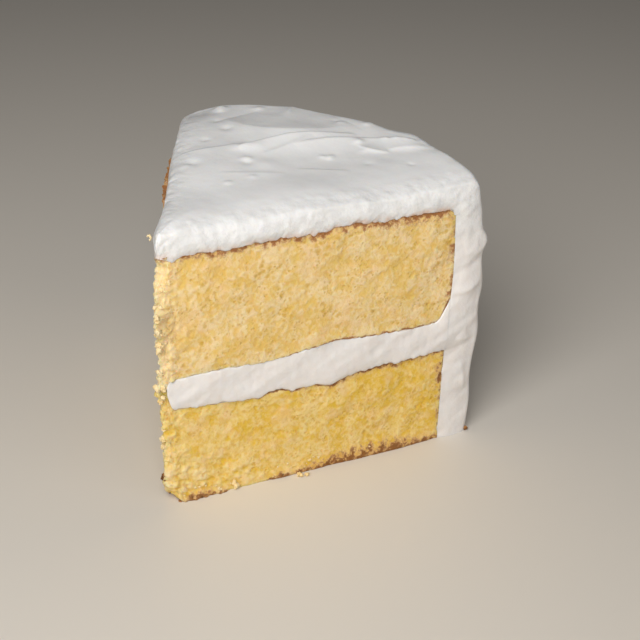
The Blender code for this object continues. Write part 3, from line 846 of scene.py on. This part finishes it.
def ridge(out, behind, start, bend, end, height, front, back, peak):
    """Height of a ridge along a bent path, with a front and a back slope."""
    nearest = np.full(out.shape, np.inf)
    level = np.zeros(out.shape)
    start, bend, end = (np.array(spot) for spot in (start, bend, end))
    for step in np.linspace(0.0, 1.0, RIDGE_STEPS):
        spot = start * (1 - step) ** 2 + bend * 2 * step * (1 - step) + end * step ** 2
        gone = np.hypot(out - spot[0], behind - spot[1])
        fade = math.sin(math.pi / 2 * min(step / peak, (1.0 - step) / (1.0 - peak)))
        fade = fade ** RIDGE_FADE
        reach = RIDGE_END_REACH + (1.0 - RIDGE_END_REACH) * fade
        reach = np.where(behind < spot[1], front, back) * reach
        closer = gone < nearest
        shape = np.exp(-(gone / reach) ** RIDGE_SHARPNESS)
        level = np.where(closer, height * fade * shape, level)
        nearest = np.where(closer, gone, nearest)
    return level


def wall_folds(out, height):
    """Folds of the cut meringue at the round side."""
    total = 0.0 * out
    for shape in WALL_FOLDS:
        total = total + ridge(out, height, *shape)
    return total


def top_relief(radius, angle):
    """Ridges, spots and slow waves of the spread top icing."""
    out, behind = from_right_face(radius, angle)
    total = waves(out, behind, TOP_WAVES)
    total = total + grains(np.column_stack([out, behind, 0.0 * out]), TOP_GRAINS, TOP_SEED)
    for shape in TOP_RIDGES:
        total = total + ridge(out, behind, *shape)
    for place, depth, reach, height in TOP_SPOTS:
        total = total + SPOT_GAIN * height * hump(np.hypot(out - place, behind - depth), reach)
    return total


def wall_relief(height, angle):
    """Spatula ridges that climb slowly round the icing wall."""
    total = lumps(SPONGE_RADIUS * angle, height, SOFT_LUMPS, WALL_SEED)
    turn = WEDGE_ANGLE / 2 - angle
    for level, climb, reach, bulge in WALL_RIDGES:
        total = total + bulge * hump(height - level - climb * turn, reach)
    return total


def rounding(distance, radius):
    """How far a round edge falls away, at a distance in from the edge."""
    left = held(1.0 - distance / radius)
    return radius * (1.0 - np.sqrt(1.0 - left ** 2))


def icing_angle(across, radius):
    """Angle of an across fraction, with grid rows held close to the cut faces."""
    half_width = radius * WEDGE_ANGLE / 2
    band = np.minimum(EDGE_BAND, EDGE_BAND_SHARE * half_width)
    share = np.minimum(across, 1.0 - across)
    inner = band + (share - ICING_BAND) / (0.5 - ICING_BAND) * (half_width - band)
    distance = np.where(share < ICING_BAND, share / ICING_BAND * band, inner)
    side = np.where(across > 0.5, 1.0, -1.0)
    return side * (WEDGE_ANGLE / 2 - distance / radius), distance


def icing_inner(leg, angle):
    """The icing's inside: under the top icing, over the corner and down the sponge."""
    swing = held(leg - 1.0) * math.pi / 2
    corner = SPONGE_RADIUS - TOP_CORNER
    start = TIP_RADIUS + (corner - TIP_RADIUS) * held(leg)
    top = upper_top(start, angle)
    down = held(leg - 2.0)
    height = (top - TOP_CORNER * (1.0 - np.cos(swing))) * (1.0 - down)
    wall = barrel_radius(height)
    out = np.where(leg <= 1.0, start, corner + (wall - corner) * np.sin(swing))
    return out, height


def icing_outer(leg, angle, distance):
    """The icing's outside: the top, the round rim and the wall, with soft cut edges."""
    swing = held(leg - 1.0) * math.pi / 2
    rim = SPONGE_RADIUS + WALL - RIM_RADIUS
    start = TIP_RADIUS + (rim - TIP_RADIUS) * held(leg)
    down = held(leg - 2.0)
    corner = np.hypot(rim - start, SPONGE_RADIUS * (angle + WEDGE_ANGLE / 2))
    top = ICING_TOP + top_relief(start, angle) - CORNER_DROOP * hump(corner, CORNER_DROOP_REACH)
    turn = WEDGE_ANGLE / 2 - angle
    top = top + humps(turn, RIM_LIFTS) * hump(rim - start, RIM_LIFT_REACH)
    height = (top - RIM_RADIUS * (1.0 - np.cos(swing))) * (1.0 - down)
    swept = RIM_BULGE * hump(turn - RIM_BULGE_TURN, RIM_BULGE_SPREAD)
    swept = swept * (1.0 - down) ** RIM_BULGE_POWER
    bulge = (wall_relief(height, angle) + swept) * np.sin(swing)
    out = start + RIM_RADIUS * np.sin(swing) + bulge
    tip = rounding(start - TIP_RADIUS, TIP_EDGE_RADIUS) * (leg < 1.0)
    edge = CUT_EDGE_FALL / CUT_EDGE_REACH * rounding(distance, CUT_EDGE_REACH)
    fall = np.maximum(edge, tip)
    slope = EDGE_DROP * (1.0 - ease(held(distance / EDGE_DEPTH)))
    return out - fall * np.sin(swing), height - (fall + slope) * np.cos(swing)


def icing_lip(inner, radius, leg, share):
    """How far small lips and a drip of the cut icing hang over the sponge."""
    gap = held(LIP_GAP_SHARPNESS * share * (1.0 - share))
    lip = held(LIP + grains(inner, LIP_GRAINS, LIP_SEED))
    lip = lip + TIP_DRIP * hump(radius - TIP_DRIP_PLACE, TIP_DRIP_REACH) * (leg < 1.0)
    return lip * (1.0 - np.where(leg > 2.0, gap, 0.0))


def icing_smear(out, height):
    """Where the knife smeared the cut icing: 0 over the sponge, 1 down the wall."""
    beyond = ease(held((out - SMEAR_OUT[0]) / SMEAR_OUT[1]))
    return beyond * ease(held((SMEAR_DOWN[0] - height) / SMEAR_DOWN[1]))


def icing_foam(points, out, smear):
    """Fine foam of the cut icing, coarser at the tip and calmer where it was smeared."""
    foam = grains(points, FOAM_GRAINS, FOAM_SEED) * (1.0 - SMEAR_CALM * smear)
    tip = crumble(points, TIP_GRAINS, ICING_TIP_SEED) * hump(out, TIP_FOAM_REACH)
    return foam + TIP_FOAM * tip


def icing_swell(out, leg, across, up):
    """How far the icing's cut faces swell between their edges, set back where dented."""
    on_left = (across < 0.5) * (leg < 1.0)
    swell = CUT_FACE_SWELL + LEFT_FACE_SWELL * hump(out, LEFT_SWELL_REACH) * on_left
    return swell * np.sin(math.pi * up) + humps(out, LEFT_FACE_DENTS) * on_left * np.sqrt(up)


def bend_icing(box):
    """Bend unit-box points to the icing: over the top, round the rim, down the side."""
    legs = np.array(ICING_LEGS)
    cells, across, up = box.T
    starts = np.concatenate([[0], legs.cumsum()])
    leg = np.interp(cells * legs.sum(), starts, range(len(starts)))
    radius = TIP_RADIUS + (SPONGE_RADIUS + WALL - TIP_RADIUS) * held(leg)
    angle, distance = icing_angle(across, radius)
    in_radius, in_height = icing_inner(leg, angle)
    out_radius, out_height = icing_outer(leg, angle, distance)
    cut = at_cut(across) | (cells < AT_FACE)
    share = filling_share(in_height, angle)
    inner = np.column_stack([*plan(in_radius, angle), in_height])
    lip = icing_lip(inner, in_radius, leg, share)
    lip = np.where(cut, lip * (1.0 - up) ** LIP_POWER, 0.0)
    swing = held(leg - 1.0) * math.pi / 2
    out = in_radius * (1.0 - up) + out_radius * up - lip * np.sin(swing)
    height = in_height * (1.0 - up) + out_height * up - lip * np.cos(swing)
    points = np.column_stack([*plan(out, angle), height])
    smear = icing_smear(out, height)
    foam = icing_foam(points, out, smear)
    clear = 1.0 - hump(in_radius - TIP_RADIUS, TIP_CLEAR_REACH)
    seam = np.where(leg > 2.0, filling_swell(share), LIP_PROUD) * clear
    relief = icing_swell(out, leg, across, up) * clear + foam + seam * (1.0 - up) ** 2
    relief = relief + smears(points) * smear + wall_folds(out, height)
    relief = relief + cut_relief(out, height, across, SOFT_LUMPS, 0.0) + tip_round(cells, across)
    relief = np.where(cut, relief, 0.0)
    near = hump(distance, EDGE_FOAM_REACH)
    edge = near * (1.0 - cut) * (up > 1.0 - AT_FACE)
    points[:, 2] += EDGE_FOAM * foam * edge
    stain = np.where(cut & (leg < 1.0), hump(height - in_height, STAIN_REACH), 0.0)
    stain = stain * (STAIN_LEAST + humps(out, UPPER_TOP_CRUST) / STAIN_CRUST)
    return pushed(points, outward(out, across), relief), {
        "foam": np.where(cut, 1.0, edge) * (1.0 - SMEAR_SHINE * smear),
        "stain": held(stain),
        "smear": np.where(cut, 1.0, near) * smear}


def steady(step):
    """Cells of one width all over a side."""
    return lambda row: step


def fan_step(row):
    """Wider cells near the tip of the top icing, where the slice is narrow."""
    for rows, step in FAN_STEPS:
        if row < rows:
            return step
    return 1


def side_cells(rows, columns, row_step, column_step):
    """Cells of one side of a box, as loops of (row, column) points.

    Cells may be larger than the lattice where a side is hidden, but they keep every
    point on the side's border, so that neighbouring sides share all their points.
    """
    loops = []
    for start in range(0, rows, row_step):
        end = start + row_step
        step = column_step(start)
        before = 1 if start == 0 else min(step, column_step(start - row_step))
        after = 1 if end == rows else min(step, column_step(end))
        for left in range(0, columns, step):
            right = left + step
            loop = [(start, column) for column in range(left, right, before)]
            loop += [(row, right) for row in range(start, end if right == columns else start + 1)]
            loop += [(end, column) for column in range(right, left, -after)]
            loop += [(row, left) for row in range(end, start if left == 0 else end - 1, -1)]
            loops.append(loop)
    return loops


def lattice_loops(counts, coarse):
    """Faces of a lattice box as loops of point keys, all facing the same way."""
    stride = ((counts[1] + 1) * (counts[2] + 1), counts[2] + 1, 1)
    faces = []
    for fixed, row_axis, column_axis in ((0, 2, 1), (1, 0, 2), (2, 0, 1)):
        for end in (0, counts[fixed]):
            steps = coarse.get((fixed, end > 0), (1, steady(1)))
            base = end * stride[fixed]
            for cell in side_cells(counts[row_axis], counts[column_axis], *steps):
                loop = [base + row * stride[row_axis] + column * stride[column_axis]
                        for row, column in cell]
                if (end > 0) == (fixed != 2):
                    loop.reverse()
                faces.append(loop)
    return faces, stride


def lattice_piece(name, counts, coarse, bend, material):
    """A closed smooth piece: the surface of a lattice box, bent by a function."""
    faces, stride = lattice_loops(counts, coarse)
    flat = np.fromiter(itertools.chain.from_iterable(faces), np.int64)
    used, corners = np.unique(flat, return_inverse=True)
    box = np.column_stack([used // stride[0], used % stride[0] // stride[1], used % stride[1]])
    points, values = bend(box / np.array(counts))
    points[:, 1] -= TIP_TO_CENTRE
    sizes = np.array([len(face) for face in faces])
    mesh = bpy.data.meshes.new(name)
    mesh.vertices.add(len(points))
    mesh.vertices.foreach_set("co", points.astype(np.float32).ravel())
    mesh.loops.add(len(corners))
    mesh.loops.foreach_set("vertex_index", corners.astype(np.int32))
    mesh.polygons.add(len(sizes))
    mesh.polygons.foreach_set("loop_start", (np.cumsum(sizes) - sizes).astype(np.int32))
    mesh.update(calc_edges=True)
    for label, value in values.items():
        attribute = mesh.attributes.new(label, "FLOAT", "POINT")
        attribute.data.foreach_set("value", value.astype(np.float32))
    return finished(name, mesh, material)


def finished(name, mesh, material):
    """A smooth piece from a mesh, sharp where its box sides meet."""
    mesh.shade_smooth()
    mesh.set_sharp_from_angle(angle=SHARP_ANGLE)
    mesh.materials.append(material)
    piece = bpy.data.objects.new(name, mesh)
    bpy.context.scene.collection.objects.link(piece)
    return piece


def crumb_spots(clumps, showers, seed):
    """Places and radii of the crumbs of clumps and showers."""
    draw = np.random.default_rng(seed)
    spots = []
    for level, out, proud, size, side in clumps:
        middle = face_point(out, level, side, proud)
        for _ in range(CLUSTER):
            near = CLUSTER_SPREAD * size * (2.0 * draw.random(3) - 1.0)
            spots.append((middle + near, size * CLUSTER_SIZE * (1.0 + draw.random())))
    for count, reach, low, high, small, large, side in showers:
        for _ in range(count):
            out = reach[0] + (reach[1] - reach[0]) * draw.random()
            level = low + (high - low) * draw.random()
            size = small + (large - small) * draw.random() ** 2
            spots.append((face_point(out, level, side, -SHOWER_DEPTH * size), size))
    return spots


def face_point(out, level, side, proud):
    """A point in the slice's frame, proud of the left (-1) or right (1) cut face."""
    half = WEDGE_ANGLE / 2
    x, y = plan(out, side * half)
    return np.array([x + side * proud * math.cos(half), y - proud * math.sin(half), level])


def crumb_piece(name, spots, material):
    """Small rough crumbs of uneven shape in one mesh."""
    ball = bmesh.new()
    bmesh.ops.create_icosphere(ball, subdivisions=3, radius=1.0)
    points = np.array([vertex.co[:] for vertex in ball.verts])
    faces = np.array([[vertex.index for vertex in face.verts] for face in ball.faces])
    ball.free()
    draw = np.random.default_rng(STRETCH_DRAW)
    all_points, all_faces = [], []
    for index, (place, size) in enumerate(spots):
        shape = CRUMB_BODY + grains(points + CRUMB_SHIFT * index, CRUMB_SHAPE, CRUMB_SHAPE_SEED)
        stretch = CRUMB_STRETCH[0] + CRUMB_STRETCH[1] * draw.random(3)
        lump = points * shape[:, None] * size * stretch + place
        lump[:, 2] = np.maximum(lump[:, 2], 0.0)
        all_points.append(lump)
        all_faces.append(faces + index * len(points))
    all_points = np.concatenate(all_points)
    all_points[:, 1] -= TIP_TO_CENTRE
    mesh = bpy.data.meshes.new(name)
    mesh.from_pydata(all_points.tolist(), [], np.concatenate(all_faces).tolist())
    return finished(name, mesh, material)


class Nodes:
    """A short way to write a material's nodes."""

    def __init__(self, name):
        self.material = bpy.data.materials.new(name)
        self.material.use_nodes = True
        self.tree = self.material.node_tree
        self.shader = self.tree.nodes["Principled BSDF"]
        self.place = self.add("ShaderNodeTexCoord").outputs["Object"]

    def add(self, kind, inputs=(), **settings):
        """A new node with some of its inputs, as (socket, value), and settings."""
        made = self.tree.nodes.new(kind)
        for key, value in settings.items():
            setattr(made, key, value)
        for socket, value in inputs:
            self.feed(made.inputs[socket], value)
        return made

    def feed(self, socket, value):
        """Links or sets one input."""
        if isinstance(value, bpy.types.NodeSocket):
            self.tree.links.new(value, socket)
        else:
            socket.default_value = value

    def value(self, name):
        """A number kept on the mesh's points."""
        return self.add("ShaderNodeAttribute", attribute_name=name).outputs["Fac"]

    def noise(self, size, detail, rough):
        """Soft noise from about 0.3 to 0.7, with lumps of a size in metres."""
        made = self.add("ShaderNodeTexNoise", (
            ("Vector", self.place), ("Scale", NOISE_PITCH / size), ("Detail", detail),
            ("Roughness", rough)))
        return made.outputs["Fac"]

    def mottle(self, size, detail, rough, *span):
        """Soft noise of which a range is stretched."""
        return self.ramp(self.noise(size, detail, rough), *span)

    def cells(self, size):
        """Round spots, one to a cell of a size in metres: 1 in the middle, 0 between."""
        shake = self.add("ShaderNodeTexNoise", (
            ("Vector", self.place), ("Scale", HOLE_JITTER / size)))
        jitter = HOLE_JITTER * size
        spread = self.add("ShaderNodeVectorMath", (
            (0, shake.outputs["Color"]), (1, (jitter, jitter, jitter)), (2, self.place)),
            operation="MULTIPLY_ADD")
        made = self.add("ShaderNodeTexVoronoi", (
            ("Vector", spread.outputs["Vector"]), ("Scale", 1.0 / size)))
        return self.ramp(made.outputs["Distance"], *HOLE_EDGE, 1.0, 0.0)

    def ramp(self, value, low, high, low_out=0.0, high_out=1.0):
        """A smooth step from one value to another."""
        made = self.add("ShaderNodeMapRange", (
            ("Value", value), ("From Min", low), ("From Max", high), ("To Min", low_out),
            ("To Max", high_out)), interpolation_type="SMOOTHSTEP")
        return made.outputs["Result"]

    def maths(self, operation, *parts):
        """Arithmetic on two or three values."""
        return self.add("ShaderNodeMath", enumerate(parts), operation=operation).outputs[0]

    def mix(self, share, first, second, strength=1.0):
        """A mix of two colours."""
        if strength < 1.0:
            share = self.maths("MULTIPLY", share, strength)
        made = self.add("ShaderNodeMix", data_type="RGBA")
        for name, value in (("Factor", share), ("A", first), ("B", second)):
            self.feed(made.inputs[name], value)
        return [socket for socket in made.outputs if socket.type == "RGBA"][0]

    def bump(self, height, distance, strength, under=None):
        """A bump from a height, over another bump if there is one."""
        inputs = [("Height", height), ("Distance", distance), ("Strength", strength)]
        if under is not None:
            inputs.append(("Normal", under))
        return self.add("ShaderNodeBump", inputs).outputs["Normal"]

    def finish(self, colour, gloss, shine, scatter, normal):
        """Feeds the shader and sets how light spreads under the surface."""
        share, reach, scale = scatter
        for socket, value in (
                ("Base Color", colour), ("Roughness", gloss), ("Specular IOR Level", shine),
                ("Subsurface Weight", share), ("Subsurface Radius", reach),
                ("Subsurface Scale", scale), ("Normal", normal)):
            self.feed(self.shader.inputs[socket], value)
        return self.material


def sponge_material(name, light, deep, pore_shade_colour, crust_colour):
    """Golden open crumb: pale, with painted light and shade, painted shade in its pores and
    holes, and with a thin brown crust.
    """
    nodes = Nodes(name)
    fine = nodes.mottle(*FINE_TONE)
    tone = nodes.maths("ADD", nodes.mottle(*MIDDLE_TONE), fine)
    tone = nodes.maths("ADD", nodes.mottle(*BROAD_TONE), tone)
    # Random mottling, plus the painted light and shade of the relief kept on the points.
    relief_shading = nodes.maths("MULTIPLY_ADD", nodes.value("tone"), *RELIEF_SHADING_WEIGHT)
    tone = nodes.ramp(nodes.maths("ADD", relief_shading, tone), *TONE_AND_SHADING_RANGE)
    colour = nodes.mix(tone, deep, light)
    colour = nodes.mix(nodes.mottle(*PINK_PATCHES), colour, PINK_CRUMB)
    # Painted shade: small holes of the crumb are painted dark, as if in shade.
    for size, darkness in HOLE_SHADES:
        some = nodes.mottle(HOLE_PATCH_SIZE * size, *HOLE_PATCHES)
        shaded_holes = nodes.maths("MULTIPLY", nodes.cells(size), some)
        colour = nodes.mix(shaded_holes, colour, pore_shade_colour, darkness)
    # Painted shade in the crumb's pits, deeper where they are deeper.
    pore_shade = nodes.ramp(nodes.value("pore"), *PORE_SHADE_RANGE)
    colour = nodes.mix(pore_shade, colour, pore_shade_colour)
    # Pale crumb at the upper sponge's tip, and painted highlights on the tops of the clumps.
    colour = nodes.mix(nodes.value("pale"), colour, PALE_CRUMB_AND_HIGHLIGHT, PALE_SHARE)
    colour = nodes.mix(nodes.value("baked"), colour, BAKED, BAKED_SHARE)
    frost = nodes.maths("MULTIPLY", nodes.value("frost"), nodes.mottle(*FROST_PATCHES))
    colour = nodes.mix(frost, colour, FROSTED, FROST_SHARE)
    dotted = nodes.maths("ADD", nodes.value("crust"), nodes.mottle(*CRUST_PATCHES))
    brown = nodes.mix(nodes.ramp(dotted, *DEEP_CRUST), PALE_CRUST, crust_colour)
    colour = nodes.mix(nodes.ramp(dotted, *ANY_CRUST), colour, brown)
    normal = nodes.bump(nodes.maths("SUBTRACT", fine, shaded_holes), *CRUMB_BUMP)
    return nodes.finish(colour, nodes.mottle(*CRUMB_GLOSS), CRUMB_SHINE, CRUMB_SCATTER, normal)


def crumb_material(name, light, deep, scatter):
    """Rough bits, mottled between two colours."""
    nodes = Nodes(name)
    blotches = nodes.mottle(*BIT_PATCHES)
    gloss = nodes.ramp(blotches, *BIT_GLOSS)
    normal = nodes.bump(blotches, *BIT_BUMP)
    colour = nodes.mix(blotches, deep, light)
    return nodes.finish(colour, gloss, CRUMB_SHINE, (scatter, *BIT_SCATTER), normal)


def meringue_material(name):
    """Soft white meringue: satin where it was spread, finely foamed where it was cut."""
    nodes = Nodes(name)
    foam = nodes.value("foam")
    colour = nodes.mix(nodes.mottle(*SPREAD_PATCHES), *SPREAD)
    colour = nodes.mix(foam, colour, nodes.mix(nodes.mottle(*CUT_PATCHES), *CUT))
    smear = nodes.maths("MULTIPLY", nodes.value("smear"), nodes.mottle(*SMEAR_PATCHES))
    colour = nodes.mix(smear, colour, SMEARED)
    blush = nodes.maths("MULTIPLY", nodes.value("stain"), nodes.mottle(*BLUSH_PATCHES))
    colour = nodes.mix(blush, colour, BLUSH, BLUSH_SHARE)
    foam_gloss = nodes.maths("MULTIPLY", foam, FOAM_ROUGHER)
    gloss = nodes.maths("ADD", nodes.mottle(*SATIN_GLOSS), foam_gloss)
    soft = nodes.bump(nodes.noise(*SOFT_WAVES), *SOFT_BUMP)
    distance, strength = FOAM_BUMP
    froth = nodes.maths("MULTIPLY", foam, strength)
    normal = nodes.bump(nodes.noise(*FOAM_BUBBLES), distance, froth, soft)
    return nodes.finish(colour, gloss, MERINGUE_SHINE, MERINGUE_SCATTER, normal)


def build_cake():
    """The pieces of the slice, four of them in place of its solids."""
    lower = sponge_material("lower_crumb", *LOWER_CRUMB)
    upper = sponge_material("upper_crumb", *UPPER_CRUMB)
    # The lower sponge's crust bands are partly painted shade: under the filling's lip, and the
    # shadow at the foot.
    lower_crusts = ((lower_top, LOWER_TOP_CRUST_AND_SHADE, 1.0), (floor_level, FLOOR_CRUST_AND_SHADOW, -1.0))
    upper_crusts = ((upper_top, UPPER_TOP_CRUST, 1.0), (upper_bottom, UPPER_BOTTOM_CRUST, -1.0))
    layers = (
        ("lower_crumb_layer", "lower_sponge", "sponge", LOWER_UP,
         sponge_layer(floor_level, lower_top, 1.0, lower_crusts), lower),
        ("upper_crumb_layer", "upper_sponge", "sponge", UPPER_UP,
         sponge_layer(upper_bottom, upper_top, 0.0, upper_crusts), upper),
        ("filling_layer", "filling", "filling", FILLING_UP, bend_filling,
         meringue_material("filling_meringue")),
    )
    hidden = (HIDDEN_STEP, steady(1))
    coarse = {(2, False): hidden, (2, True): hidden, (0, True): hidden}
    for name, node, slot, rows, bend, material in layers:
        counts = (SPONGE_ALONG, SPONGE_ACROSS, rows)
        keep_piece(lattice_piece(name, counts, coarse, bend, material), node)
    crumb = crumb_material("loose_crumb", *LOOSE_CRUMB, LOOSE_SCATTER)
    pale = crumb_spots(PALE_CLUMPS, CRUMB_SHOWERS, PALE_DRAW)
    keep_piece(crumb_piece("clinging_crumbs", pale, crumb))
    crust = crumb_material("crust_bit", *CRUST_BIT, 0.0)
    brown = crumb_spots(BROWN_CLUMPS, (), BROWN_DRAW)
    keep_piece(crumb_piece("crust_bits", brown, crust))
    white = meringue_material("spread_meringue")
    counts = (sum(ICING_LEGS), ICING_ACROSS, ICING_UP)
    coarse = {(2, False): (ICING_INSIDE_STEP, steady(ICING_INSIDE_STEP)),
              (2, True): (1, fan_step), (0, True): (ICING_FOOT_STEP, steady(1))}
    icing = lattice_piece("meringue_icing", counts, coarse, bend_icing, white)
    keep_piece(icing, "icing")


def keep_piece(piece, node=None):
    """Ties a finished piece to the frame."""
    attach(piece, "root")
    if node:
        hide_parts(node)


def build_stage():
    """A plain pale floor."""
    mesh = bpy.data.meshes.new("pale_floor")
    mesh.from_pydata(FLOOR_CORNERS, [], [(0, 1, 2, 3)])
    floor = bpy.data.objects.new("pale_floor", mesh)
    nodes = Nodes("pale_stone")
    nodes.shader.inputs["Base Color"].default_value = PALE_STONE
    nodes.shader.inputs["Roughness"].default_value = FLOOR_ROUGHNESS
    mesh.materials.append(nodes.material)
    bpy.context.scene.collection.objects.link(floor)


def area_light(name, azimuth, elevation, distance, size, power, colour):
    """A soft light that looks at the middle of the slice."""
    light = bpy.data.lights.new(name, "AREA")
    light.shape = "DISK"
    light.size = size
    light.energy = power
    light.color = colour
    lamp = bpy.data.objects.new(name, light)
    turn, rise = math.radians(azimuth), math.radians(elevation)
    level = distance * math.cos(rise)
    lamp.location = (level * math.cos(turn), level * math.sin(turn),
                     LIT_HEIGHT + distance * math.sin(rise))
    lamp.rotation_euler = (math.pi / 2 - rise, 0.0, turn + math.pi / 2)
    bpy.context.scene.collection.objects.link(lamp)


def build_light():
    """Soft light from the front and the left, low over the table."""
    area_light("key", *KEY_LIGHT)
    area_light("fill", *FILL_LIGHT)
    world = bpy.data.worlds.new("room")
    world.use_nodes = True
    background = world.node_tree.nodes["Background"]
    background.inputs["Color"].default_value = (1.0, 1.0, 1.0, 1.0)
    background.inputs["Strength"].default_value = ROOM_LIGHT
    bpy.context.scene.world = world


def build_camera():
    """The photograph's viewpoint."""
    lens = bpy.data.cameras.new("view")
    lens.lens = CAMERA_LENS
    lens.sensor_width = CAMERA_SENSOR
    lens.clip_start = CAMERA_CLIP
    camera = bpy.data.objects.new("view", lens)
    camera.location = CAMERA_PLACE
    camera.rotation_euler = Euler([math.radians(turn) for turn in CAMERA_TURNS])
    bpy.context.scene.collection.objects.link(camera)
    bpy.context.scene.camera = camera


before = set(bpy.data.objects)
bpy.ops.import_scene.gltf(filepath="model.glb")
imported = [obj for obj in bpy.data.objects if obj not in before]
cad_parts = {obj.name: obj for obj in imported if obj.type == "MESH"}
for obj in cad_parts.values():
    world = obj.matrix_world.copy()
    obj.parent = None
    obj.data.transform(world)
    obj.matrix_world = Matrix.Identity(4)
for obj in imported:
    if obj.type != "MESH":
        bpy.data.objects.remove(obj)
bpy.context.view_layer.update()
bpy.context.scene.view_settings.view_transform = "Standard"
build_camera()
build_light()
build_stage()
build_cake()
